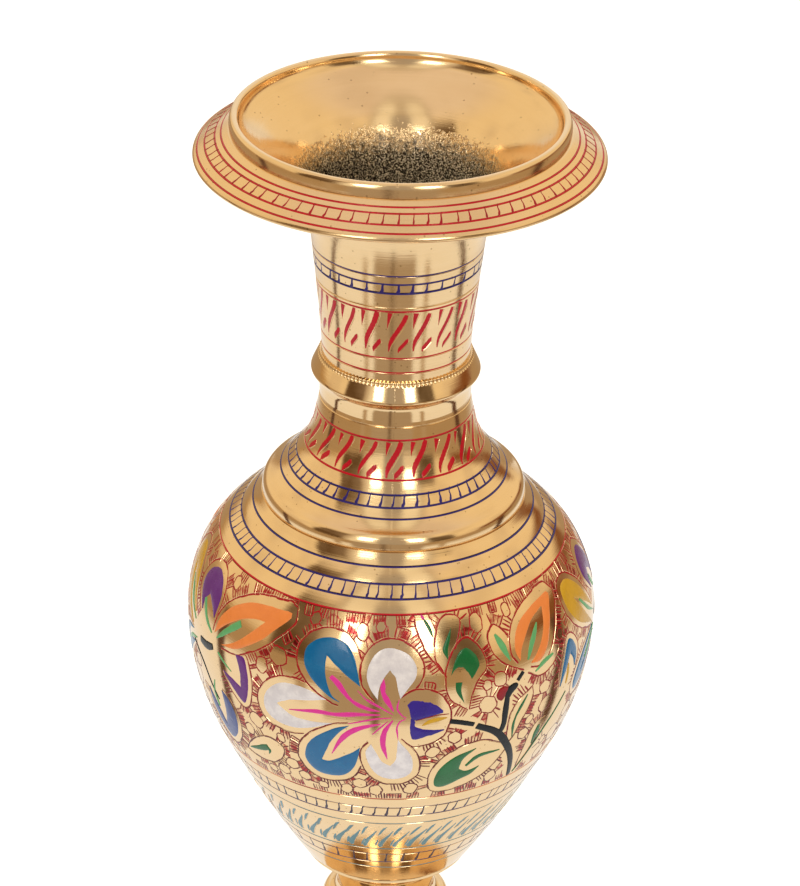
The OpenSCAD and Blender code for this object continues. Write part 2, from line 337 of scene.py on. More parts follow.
def startMaterial(name):
    material = bpy.data.materials.new(name)
    material.use_nodes = True
    tree = material.node_tree
    coord = add(tree, "ShaderNodeTexCoord").outputs
    return material, tree, tree.nodes["Principled BSDF"], coord["Object"], coord["UV"]


brassLook = {
    "bright": (0.89, 0.65, 0.37), "deep": (0.80, 0.53, 0.24), "tarnish": (0.30, 0.16, 0.05),
    "castDark": (0.018, 0.015, 0.012), "castBright": (0.95, 0.82, 0.60), "castRough": 0.34,
    "lineBump": 0.035, "bandBump": 0.07, "dentBump": 0.30, "castBump": 1.4, "coat": 0.12, "brushed": 0.55,
}


# turned brass: fine lines round the girth, tarnish clouds and specks; cast brings in a rough skin, stain a blotched wash
def brassMaterial(name, roughness=0.16, lines=1.0, fineness=420.0, cast=None, tint=1.0, stain=None):
    material, tree, bsdf, place, uv = startMaterial(name)
    look = brassLook
    turning = placeGroup(tree, turningGroup, uv, Fineness=fineness)
    age = placeGroup(tree, ageGroup, place, Speck_Amount=0.51)
    clouds = spread(tree, age["Clouds"], 0.35, 0.7)
    bands = spread(tree, turning["Bands"], 0.3, 0.7)
    colour = mixColour(tree, times(tree, clouds, 0.35), tuple(c*tint for c in look["bright"]), look["deep"])
    colour = mixColour(tree, times(tree, bands, 0.18), colour, look["deep"])
    colour = mixColour(tree, times(tree, age["Specks"], 0.55), colour, look["tarnish"])
    if stain:
        blot = spread(tree, placeGroup(tree, ageGroup, place, Cloud_Size=330.0)["Clouds"], 0.38, 0.56)
        colour = mixColour(tree, blot, colour, stain)
    rough = spread(tree, turning["Lines"], 0.25, 0.75, roughness*0.75, roughness*1.35)
    height = plus(tree, times(tree, turning["Lines"], look["lineBump"]*lines),
                  times(tree, turning["Bands"], look["bandBump"]*lines))
    height = plus(tree, height, times(tree, age["Dents"], look["dentBump"]))
    if cast:
        skin = placeGroup(tree, castGroup, place, Run=splitOf(tree, uv)[1], **cast)
        grain = spread(tree, skin["Grains"], 0.49, 0.60)
        colour = mixColour(tree, skin["Mask"], colour, mixColour(tree, grain, look["castDark"], look["castBright"]))
        smooth = mathNode(tree, "SUBTRACT", 1.0, skin["Mask"])
        rough = plus(tree, times(tree, rough, smooth), times(tree, skin["Mask"], look["castRough"]))
        bumps = plus(tree, times(tree, grain, 0.55), skin["Lumps"])
        height = plus(tree, height, times(tree, bumps, times(tree, skin["Mask"], look["castBump"])))
    bump = add(tree, "ShaderNodeBump", in_Strength=0.5, in_Distance=0.0006, in_Height=height)
    fill(tree, bsdf, in_Base_Color=colour, in_Roughness=rough, in_Normal=bump.outputs[0], in_Metallic=1.0,
         in_Anisotropic=look["brushed"], in_Anisotropic_Rotation=0.25, in_Coat_Weight=look["coat"], in_Coat_Roughness=0.06)
    return material


# lac or enamel: brushed, a little mottled, wet-looking, with pinholes
def enamelMaterial(name, main, streak, amount=0.35, roughness=0.22, size=260.0, coat=0.5, lower=None):
    material, tree, bsdf, place, _ = startMaterial(name)
    age = placeGroup(tree, ageGroup, place, Cloud_Size=size, Speck_Size=900.0, Speck_Amount=0.6)
    clouds = spread(tree, age["Clouds"], 0.36, 0.66)
    colour = mixColour(tree, times(tree, clouds, amount), main, streak)
    colour = mixColour(tree, times(tree, age["Specks"], 0.35), colour, tuple(c*0.35 for c in main))
    # painted shade: the colour turns darker on the lower belly, where it turns down away from the lights
    if lower:               # a darker shade below, from 158 down to 128 mm
        colour = mixColour(tree, spread(tree, splitOf(tree, place)[2], 0.128, 0.158), lower, colour)
    rough = spread(tree, age["Clouds"], 0.3, 0.7, roughness*0.7, roughness*1.5)
    bump = add(tree, "ShaderNodeBump", in_Strength=0.35, in_Distance=0.0004, in_Height=age["Clouds"])
    fill(tree, bsdf, in_Base_Color=colour, in_Roughness=rough, in_Normal=bump.outputs[0],
         in_Specular_IOR_Level=0.25, in_Coat_Weight=coat, in_Coat_Roughness=0.08)
    return material


# main colour, streak colour
paints = {
    "lac_red": ((0.62, 0.008, 0.022), (0.34, 0.008, 0.02)), "lac_navy": ((0.035, 0.022, 0.20), (0.012, 0.01, 0.06)),
    "lac_teal": ((0.13, 0.30, 0.36), (0.07, 0.16, 0.22)), "lac_black": ((0.03, 0.02, 0.05), (0.05, 0.03, 0.10)),
    "enamel_blue": ((0.002, 0.14, 0.37), (0.004, 0.21, 0.46)), "enamel_white": ((0.92, 0.90, 0.94), (0.55, 0.53, 0.60)),
    "enamel_pink": ((0.85, 0.05, 0.40), (0.70, 0.03, 0.30)), "enamel_indigo": ((0.045, 0.022, 0.32), (0.02, 0.01, 0.18)),
    "enamel_green": ((0.010, 0.165, 0.045), (0.005, 0.09, 0.02)), "enamel_light_green": ((0.15, 0.50, 0.20), (0.10, 0.33,
                0.12)),
    "enamel_orange": ((0.96, 0.30, 0.075), (0.80, 0.22, 0.05)), "enamel_violet": ((0.14, 0.022, 0.24), (0.20, 0.06, 0.32)),
    "enamel_slate": ((0.08, 0.12, 0.34), (0.16, 0.20, 0.42)), "enamel_yellow": ((0.74, 0.43, 0.03), (0.50, 0.30, 0.02)),
    "enamel_black": ((0.004, 0.005, 0.008), (0.012, 0.03, 0.024)), "engraved_red": ((0.46, 0.008, 0.014), (0.24, 0.012,
                0.02)),
}
streaky = {"enamel_white": 0.6, "engraved_red": 0.6}
glossy = {"enamel_black": 0.02, "enamel_blue": 0.4, "enamel_white": 0.4, "enamel_green": 0.3}
# painted shade on the engraved red of the lower belly
paintedShadeBelow = {"engraved_red": (0.13, 0.008, 0.012)}
paint = {name: enamelMaterial(name, main, streak, streaky.get(name, 0.35), coat=glossy.get(name, 0.12),
            lower=paintedShadeBelow.get(name))
         for name, (main, streak) in paints.items()}
runPastBead = 1.163         # outline run, in 100 mm, where the as-cast throat begins
brass = {
    "neck": brassMaterial("brassNeck", 0.12, 1.7, cast={"Starts_At": runPastBead}),
    "lip": brassMaterial("brassLip", 0.18, 1.6, 600.0),
    "collar": brassMaterial("brassCollar", 0.08, 1.0),
    "flare": brassMaterial("brassFlare", 0.10, 1.2),
    "bodyUpper": brassMaterial("brassBodyUpper", 0.095, 1.0),
    "bodyLower": brassMaterial("brassBodyLower", 0.09, 0.6),
    "stem": brassMaterial("brassStem", 0.07, 0.4),
    "foot": brassMaterial("brassFoot", 0.13, 1.1),
    "braze": brassMaterial("brazeAlloy", 0.30, 0.2, tint=0.92),
    "stained": brassMaterial("brassStained", 0.22, 0.5, stain=(0.42, 0.035, 0.035)),
}
print("materials ready")


# brass castings

neckShape = {"lines": [267.0, 264.3, 261.2, 256.5, 255.5, 240.2, 235.5], "bead": 47.7}


outside = join(curve([21.45, 232], [21.6, 242], [23.6, 258], [24.6, 267.3], 60),
                curve([24.6, 267.3], [25.9, 278], [29.5, 286], [38, 291.8], 40))


# points of an outline at the given heights
def atHeights(line, heights):
    order = np.argsort(line[:, 1])
    return [(np.interp(h, line[order, 1], line[order, 0]), h) for h in heights]


neckTurned = turned(outside, atHeights(outside, neckShape["lines"]), width=0.32, depth=0.22)
bead = neckShape["bead"]
neckOutline = join([[19.1, 228.1], [21.4, 228.1]], neckTurned, [[44.4, 295.6], [47, 297.4], [47, 301]],
                   curve([bead, 301.05], [bead + 0.25, 304], [bead - 0.2, 305], [46.4, 305], 14),
                   curve([46.4, 305], [45.5, 305], [45.15, 304.6], [45.1, 303.4], 12),
                   curve([45.1, 303.4], [44.9, 301.6], [43, 300.3], [40, 298.4], 22),
                   curve([40, 298.4], [33.5, 294.6], [29, 290], [26.4, 283], 34),
                   curve([26.4, 283], [22, 270], [19.7, 246], [19.1, 228.1], 24))
lathe("mouthNeck", neckOutline, brass["neck"], ["mouth_neck"])

lipShape = {"lines": [0.235, 0.40, 0.68, 0.93], "outer": 58.0}      # lines as parts of the way out
lipTop = curve([bead, 301], [51, 299.2], [54.6, 296.5], [lipShape["outer"] - 0.7, 294.5], 60)
lipLineAt = [tuple(lipTop[int(k*59)]) for k in lipShape["lines"]]
lipOutline = join([[48.6, 297.3], [47.1, 297.5], [47.1, 301]], turned(lipTop[::-1], lipLineAt, step=0.6, width=0.32,
            depth=0.22)[::-1],
                  curve([57.3, 294.5], [58, 294], [58, 293.2], [57.4, 292.8], 10),
                  curve([57, 292.6], [54, 294.2], [51, 296.2], [48.6, 297.3], 14))
lathe("lipRing", lipOutline, brass["lip"], ["lip_ring"])

collarShape = {"teeth": 110, "depth": 0.32, "brim": 0.23145, "brimOut": 0.0218}      # the last two in metres
collarOutline = join([[21.5, 232.4], [22.1, 232.45], [22.25, 232.2], [22.25, 231.9]],
                     curve([22.3, 231.8], [23.1, 230.2], [23.8, 228.8], [24.4, 227.3], 22),
                     curve([24.4, 227.3], [24.6, 226.7], [24.4, 226.2], [23.6, 225.8], 12),
                     curve([23.6, 225.8], [22.6, 225.3], [22.1, 224.2], [22.0, 222.4], 12),
                     [[22.0, 219.7], [20.5, 219.7], [20.5, 223.9], [18.9, 223.9], [18.9, 227.9], [21.5, 227.9]])


# the brim's notches: the points near the top edge move in by depth * (tooth wave)^3, and down a little less
def notchBrim(piece):
    count = len(piece.data.vertices)
    co = np.zeros(count*3, np.float32)
    piece.data.vertices.foreach_get("co", co)
    co = co.reshape(-1, 3)
    r, a = np.hypot(co[:, 0], co[:, 1]), np.arctan2(co[:, 0], -co[:, 1])
    wave = (0.5 + 0.5*np.cos(a*collarShape["teeth"]))**3
    near = (co[:, 2] > collarShape["brim"]) & (r > collarShape["brimOut"])
    pull = np.where(near, collarShape["depth"]*mm*wave, 0)
    co[:, 0] *= (r - pull)/r
    co[:, 1] *= (r - pull)/r
    co[:, 2] -= pull*0.6
    piece.data.vertices.foreach_set("co", co.ravel())
    piece.data.update()


notchBrim(lathe("neckCollar", collarOutline, brass["collar"], ["neck_collar"], sides=660))

flareShape = {"lines": [218.2, 214.5, 203.4, 200.0, 197.0, 194.5]}
flareOutside = join(curve([21.9, 218.6], [23.2, 212], [23.6, 206.5], [27.6, 201.2], 60),
                    curve([27.6, 201.2], [30.2, 197.8], [32.9, 194.2], [36.3, 191.9], 40),
                    curve([36.3, 191.9], [38.2, 190.9], [38.6, 189.4], [38.5, 187.3], 24))
flareTurned = turned(flareOutside[::-1], atHeights(flareOutside, flareShape["lines"]), step=0.7, width=0.32,
            depth=0.22)[::-1]
flareOutline = join([[18.4, 223.6], [20.4, 223.6], [20.4, 219.6], [21.8, 219.6]], flareTurned,
                    [[38.2, 186.9], [34.4, 186.9], [34.4, 183.4], [32.2, 183.4]],
                    curve([32.2, 186.9], [30.5, 190], [27.2, 194], [24.8, 198.2], 12),
                    curve([24.8, 198.2], [20.6, 204], [19.6, 212], [18.4, 223.6], 12))
lathe("shoulderNeck", flareOutline, brass["flare"], ["shoulder_neck"])

bodyShape = {"upperLines": [183.6, 180.0, 177.0, 174.0], "lowerLines": [112.2, 107.6, 103.2, 99.0, 84.5, 81.4, 76.6, 73.2]}
upH = np.linspace(148, 180, 90)
upperOutside = join(np.stack([bellyRadius(upH), upH], 1), curve([44.6, 180], [43.6, 181.4], [42.4, 182.6], [41.2, 183.7],
            12),
                    curve([41.2, 183.7], [40.0, 184.9], [39.2, 186.2], [38.7, 186.8], 10))
upperTurned = turned(upperOutside, atHeights(upperOutside, bodyShape["upperLines"]), width=0.34, depth=0.22)
inH = np.linspace(148, 170, 16)
upperOutline = join(upperTurned, [[34.5, 186.8], [34.5, 183.3], [38, 181.3], [41, 178.6], [44.1, 175.2], [46.5, 172.6]],
                    np.stack([bellyRadius(inH) - 2.75, inH], 1)[::-1][1:], [[59.3, 148.0], [59.3, 150.6]])
lathe("bodyUpper", upperOutline, brass["bodyUpper"], ["body_upper"])

lowH = np.linspace(63.9, 148, 200)
lowerOutside = join([[26.2, 63.9]], np.stack([bellyRadius(lowH), lowH], 1)[1:])
lowerTurned = turned(lowerOutside, atHeights(lowerOutside, bodyShape["lowerLines"]), width=0.32, depth=0.2)
innH = np.linspace(69, 148, 30)
lowerOutline = join([[9.1, 63.9]], lowerTurned, [[59.25, 148], [59.25, 150.5], [58, 150.5]],
                    np.stack([bellyRadius(innH) - 2.7, innH], 1)[::-1], [[9.1, 69]])
lathe("bodyLower", lowerOutline, brass["bodyLower"], ["body_lower"])

stemOutline = join([[0.01, 60], [0.01, 72], [9, 72], [9, 63.8], [25.4, 63.8]],
                   curve([25.4, 63.8], [25.9, 63.6], [25.9, 62.6], [25.6, 62.2], 8),
                   curve([25.6, 62.2], [20.5, 60], [15.4, 55], [14.6, 46], 40),
                   curve([14.6, 46], [14.9, 43.5], [16.5, 42.6], [17.6, 42.4], 12),
                   curve([17.6, 42.4], [20.6, 42], [20.6, 36.2], [17.6, 36], 26),
                   [[16.4, 35.9], [16.4, 33.1], [12.5, 33.1], [12.5, 26.1], [7.5, 26.1], [7.5, 56]])
lathe("stem", stemOutline, brass["stem"], ["stem"])

footShape = {"rim": 41.5, "lines": [(24.0, 17.6), (32.0, 12.4), (35.0, 11.0)]}
rim = footShape["rim"]
footOutside = join(curve([16.8, 33], [18.5, 22], [26, 14.5], [rim - 4.4, 10.2], 60),
                   curve([rim - 4.4, 10.2], [rim - 1.5, 9.4], [rim, 7.5], [rim, 5], 14),
                   [[rim, 0.8]], curve([rim, 0.8], [rim, 0.3], [rim - 0.3, 0], [rim - 0.8, 0], 6))
footTurned = turned(footOutside[::-1], footShape["lines"], step=0.8, width=0.34, depth=0.22)[::-1]
footOutline = join([[12.6, 33]], footTurned, [[rim - 5.5, 0], [rim - 6, 4]],
                   curve([rim - 6.5, 6], [25, 11], [18, 18], [14.5, 26], 20), [[12.6, 26]])
lathe("foot", footOutline, brass["foot"], ["foot"])

brazes = {
    "brazeLip": ([[47.0, 297.35], [48.6, 297.2], [47.2, 296.2], [46.6, 297.1]], "braze_lip"),
    "brazeNeck": ([[18.95, 227.92], [21.4, 227.92], [21.4, 228.08], [18.95, 228.08]], "braze_neck"),
    "brazeFlare": ([[34.42, 186.8], [38.3, 186.8], [38.42, 186.85], [38.3, 186.9], [34.42, 186.9]], "braze_flare"),
    "brazeBelly": ([[58.0, 150.5], [59.2, 150.5], [59.2, 150.6], [58.0, 150.6]], "braze_belly"),
    "brazeFoot": ([[12.55, 33.0], [16.3, 33.0], [16.6, 33.05], [16.3, 33.1], [12.55, 33.1]], "braze_foot"),
}
for name, (outline, node) in brazes.items():
    lathe(name, outline, brass["braze"], [node], sides=240)
print("castings turned")


# lac in the turned lines

# a thin bead that fills a turned line: a six-sided oval, half cos q wide, from deep below the skin to top above it
def lacRings(name, points, normals, paintName, nodes, half, deep=0.16, top=0.012, sides=300):
    q = np.linspace(0, 2*np.pi, 6, endpoint=False)
    a = np.linspace(0, 2*np.pi, sides, endpoint=False)
    side, out = half*np.cos(q), np.where(np.sin(q) > 0.1, top, np.where(np.sin(q) < -0.1, -deep, -0.10))
    i, j = np.meshgrid(np.arange(6), np.arange(sides), indexing="ij")
    i2, j2 = (i + 1) % 6, (j + 1) % sides
    faces = np.stack([i*sides + j, i2*sides + j, i2*sides + j2, i*sides + j2], -1).reshape(-1, 4)[:, ::-1]
    pts, tables = [], []
    for index, ((r, h), (nr, nh)) in enumerate(zip(points, normals)):
        rr, hh = (r + out*nr - side*nh)[:, None], (h + out*nh + side*nr)[:, None]
        pts.append(np.stack([rr*np.sin(a), -rr*np.cos(a), hh + 0*a], -1).reshape(-1, 3))
        tables.append(faces + index*6*sides)
    piece = makePiece(name, np.concatenate(pts), tables, paint[paintName], crease=70)
    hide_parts(*nodes)


# where a line at each height lies on an outline, and which way the outline faces there
def ringPlaces(line, heights):
    line = line if line[0, 1] < line[-1, 1] else line[::-1]
    dr, dh = np.gradient(line[:, 0]), np.gradient(line[:, 1])
    size = np.hypot(dr, dh)
    h = np.array(heights, float)
    at = lambda v: np.interp(h, line[:, 1], v)
    return np.stack([at(line[:, 0]), h], 1), np.stack([at(dh/size), at(-dr/size)], 1)


lipPlaces = np.array(lipLineAt)
lipSlope = lipTop[40] - lipTop[20]
lipNormal = np.array([-lipSlope[1], lipSlope[0]])/np.hypot(*lipSlope)
lacRings("lacLipRed", lipPlaces, np.tile(lipNormal, (4, 1)), "lac_red", ["lac_lip_red"], half=0.24)
# name, outline, heights of the lines, paint, CAD node, half width
lacWork = [
    ("lacNeckNavy", outside, [267.0, 264.3, 261.2], "lac_navy", "lac_neck_navy", 0.32),
    ("lacNeckRed", outside, [255.5, 240.2, 235.5], "lac_red", "lac_neck_red", 0.32),
    ("lacFlareRed", flareOutside, [214.5, 203.4], "lac_red", "lac_flare_red", 0.32),
    ("lacFlareNavy", flareOutside, [200.0, 197.0, 194.5], "lac_navy", "lac_flare_navy", 0.32),
    ("lacShoulderNavy", upperOutside, [183.6, 180.0, 177.0], "lac_navy", "lac_shoulder_navy", 0.32),
    ("lacFriezeTopRed", upperOutside, [174.0], "lac_red", "lac_frieze_top_red", 0.32),
    ("lacFriezeLowRed", lowerOutside, [112.2], "lac_red", "lac_frieze_low_red", 0.32),
    ("lacLowNavy", lowerOutside, [107.6, 103.2, 81.4, 76.6], "lac_navy", "lac_low_navy", 0.2),
    ("lacLowLines", lowerOutside, [99.0, 84.5, 73.2], "lac_teal", "lac_low_lines", 0.18),
]
for name, line, heights, paintName, node, half in lacWork:
    lacRings(name, *ringPlaces(line, heights), paintName, [node], half)
print("turned lines filled")


# walls that the hand-cut marks are laid on

def wallByHeight(line, ref):
    line = line if line[0, 1] < line[-1, 1] else line[::-1]
    return wallOf(line[:, 1], line[:, 0], line[:, 1], ref)


neckWall = wallByHeight(outside, 22.4)
flareWall = wallByHeight(flareOutside, 24.5)
lipWall = wallOf(lipTop[:, 0], lipTop[:, 0], lipTop[:, 1], 53.0)
lipWall["nr"], lipWall["nh"] = -lipWall["nr"], -lipWall["nh"]
fullH = np.linspace(64, 180, 240)
bellyWall = wallOf(fullH, bellyRadius(fullH), fullH, bellyWide)
shoulderWall = wallByHeight(upperOutside, 46.0)


# little hooked ticks between two turned lines: a leaning bar whose foot hooks to one side,
# x = place + hook t + lean (1/2 - t), height falling evenly with t
def tickBand(name, wall, low, high, count, paintName, half, lean):
    x = (np.arange(count) + rng.normal(0, 0.06, count))*2*np.pi*wall["ref"]/count
    tall = high - low
    t = np.linspace(0, 1, 7)
    hook = np.array([0.30, 0.10, 0.02, 0.0, -0.04, -0.20, -0.46])*abs(tall)*0.5
    path = np.stack([x[:, None] + hook*rng.uniform(0.5, 1.3, (count, 1)) + lean*(0.5 - t) + rng.normal(0, 0.04, (count, 7)),
                     high + 0.1*tall - tall*1.12*t*rng.uniform(0.94, 1.04, (count, 1))], -1)
    width = 1.25*half*np.array([0.3, 0.85, 0.9, 1.0, 1.3, 1.7, 0.3])*rng.uniform(0.8, 1.3, (count, 1))
    slotName = "lac_navy" if paintName == "lac_black" else paintName
    pads(name, wall, *strokeEdges(path, width), paint[paintName], slotName, high=0.05, sink=0.12)


# name, wall, from, to, count, paint, half width, lean
tickWork = [
    ("ticksLip", lipWall, lipPlaces[2, 0], lipPlaces[1, 0], 84, "engraved_red", 0.15, 0.0),
    ("ticksNeck", neckWall, 261.2, 264.3, 35, "lac_navy", 0.26, -0.2),
    ("ticksFlare", flareWall, 197.0, 200.0, 54, "lac_navy", 0.19, 0.0),
    ("ticksShoulder", shoulderWall, 177.0, 180.0, 84, "lac_navy", 0.20, 0.0),
    ("ticksLow", bellyWall, 103.2, 107.6, 88, "lac_black", 0.27, 0.0),
    ("ticksFoot", bellyWall, 76.6, 81.4, 46, "lac_black", 0.42, 0.0),
]
for band in tickWork:
    tickBand(*band)
print("ticks cut")


slashShape = {
    # where along the gap, foot and top height (of the band), lean in gaps, widest in mm, shape of the cut
    "long": {"at": 0.0, "foot": 0.02, "top": 0.99, "lean": 0.58, "bow": 0.045, "wide": 2.0, "fall": "foot"},
    "wedge": {"at": 0.70, "foot": 0.58, "top": 0.98, "lean": 0.10, "bow": 0.0, "wide": 2.1, "fall": "wedge"},
    "dash": {"at": 0.235, "foot": -0.02, "top": 0.34, "lean": 0.33, "bow": 0.03, "wide": 1.75, "fall": "both"},
}


# long leaning cuts with a wedge and a dash between; x = foot + lean t + bow sin(2 pi t), t from foot to top
def slashBand(name, wall, low, high, count, paintName, nodes, shapes=slashShape, scale=1.0, burrSlot="brass_neck"):
    girth = 2*np.pi*wall["ref"]
    gap, tall = girth/count, high - low
    t = np.linspace(0, 1, 12)
    taper = {"foot": np.clip(t/0.35, 0.1, 1)**0.7*np.where(t > 0.97, 0.75, 1), "wedge": np.clip(t, 0.06, 1),
             "both": np.clip(np.minimum(t/0.3, (1 - t)/0.16), 0.15, 1),
             "comma": np.clip(np.minimum(t/0.06, 1.15 - t), 0.2, 1)}
    paths, widths = [], []
    for s in shapes.values():
        x = (np.arange(count) + s["at"] + rng.normal(0, 0.035, count))[:, None]*gap - s["lean"]*gap/2
        lean = s["lean"]*rng.uniform(0.8, 1.2, (count, 1))
        y = low + tall*(s["foot"] + (s["top"] - s["foot"])*t*rng.uniform(0.93, 1.0, (count, 1)))
        paths.append(np.stack([x + gap*(lean*t**1.25 - s["bow"]*np.sin(2*np.pi*t)), y], -1))
        widths.append(scale*s["wide"]/2*taper[s["fall"]]*rng.uniform(0.75, 1.15, (count, 1)))
    path = np.concatenate(paths) + rng.normal(0, 0.025, (3*count, 12, 2))
    width = np.concatenate(widths)
    left, right = strokeEdges(path, width)
    pads(name, wall, left, right, paint[paintName], paintName, high=0.05, sink=0.16, replaced=nodes)
    # the bright burr that the graver throws up along one side
    burr = right + (right - left)*0.06/np.maximum(np.hypot(*(right - left).transpose(2, 0, 1)), 0.05)[..., None]
    pads(name + "Burr", wall, *strokeEdges(burr, 0.075*np.ones(burr.shape[:2])), brass["collar"], burrSlot, high=0.07,
         sink=0.1)


tealShape = {
    "long": {"at": 0.0, "foot": 0.02, "top": 0.80, "lean": 0.95, "bow": 0.03, "wide": 2.4, "fall": "comma"},
    "wedge": {"at": 0.75, "foot": 0.55, "top": 0.98, "lean": 0.60, "bow": -0.03, "wide": 1.1, "fall": "both"},
    "dash": {"at": 0.42, "foot": 0.06, "top": 0.40, "lean": 0.30, "bow": 0.0, "wide": 0.8, "fall": "both"},
}
slashBand("slashesNeck", neckWall, 242.2, 255.3, 20, "lac_red", ["lac_neck_slashes"])
slashBand("slashesFlare", flareWall, 203.7, 214.1, 20, "lac_red", ["lac_flare_slashes"], burrSlot="brass_flare")
slashBand("slashesTeal", bellyWall, 85.4, 97.4, 58, "lac_teal", ["lac_teal_slashes"], tealShape, 1.3, "brass_body_lower")
print("slashes cut")


# flowers

girth = 2*np.pi*bellyWide
edgePoints = 44      # along each edge of a piece of enamel
enamelWork = {}      # colour -> list of (edge, edge)
outlines = []        # (line to cut, closed drawing), the front one first
coverWork = []       # discs (x, y, r) that the ground keeps out of


def addEnamel(colour, edgeA, edgeB):
    enamelWork.setdefault(colour, []).append((edgeA, edgeB))


# a smooth line through points given from the place at
def lineAt(points, at):
    return smoothLine(np.array(points, float) + at, edgePoints)


def enamelAt(colour, edgeA, edgeB, at, rough=(0, 0)):
    a, b = lineAt(edgeA, at), lineAt(edgeB, at)
    addEnamel(colour, ragged(a, rough[0]) if rough[0] else a, ragged(b, rough[1]) if rough[1] else b)


# smooth line with one sharp corner at the given point
def bentLine(points, corner):
    halves = smoothLine(points[:corner + 1], 30), smoothLine(points[corner:], 30)[1:]
    return evenly(np.concatenate(halves), edgePoints)


# an edge made a little uneven: averaged noise, fading to none at both ends
def ragged(line, amount=0.09):
    k = len(line)
    n = rng.normal(0, 1, (k + 4, 2))
    soft = np.stack([np.convolve(n[:, i], np.ones(3)/3, "same")[2:-2] for i in (0, 1)], 1)
    return line + soft*amount*np.sin(np.pi*np.linspace(0, 1, k))[:, None]


# a petal is enamel between an outer line and a notched inner line that share their tails
def petal(colour, outer, inner, corner, at, rim=2.4, root=(0, 0)):
    out = lineAt(outer, at)
    inn = bentLine(np.array(inner) + at, corner)
    addEnamel(colour, ragged(out), ragged(inn))
    if rim:
        side = -sideways(out[None])[0]
        away = out.mean(0) - (np.array(root) + at)
        thick = rim*np.sin(np.pi*np.linspace(0.06, 0.94, edgePoints))**0.5
        grow = np.sign(np.sum(side[edgePoints//2]*away))*side*thick[:, None]
        addOutline(out + grow, np.array(root) + at)


# a line to cut, and the drawing it closes through the root
def addOutline(line, root=None):
    closed = line if root is None else np.concatenate([line, np.atleast_2d(root)])
    outlines.append((line, closed))


# a brush stroke along points; its half width swells, or follows shape
def stroke(colour, points, half, taper=0.5, at=(0, 0), shape=None):
    t = np.linspace(0, 1, edgePoints)
    width = swell(half, t, taper) if shape is None else half*np.interp(t, np.linspace(0, 1, len(shape)), shape)
    edges = strokeEdges(lineAt(points, at)[None], width[None])
    addEnamel(colour, ragged(edges[0][0], 0.05), ragged(edges[1][0], 0.05))


# discs of radius r along a line, which the ground leaves bare
def keepOff(points, r, at=(0, 0)):
    coverWork.extend([(p[0], p[1], r) for p in evenly(np.array(points, float) + at, 8)])


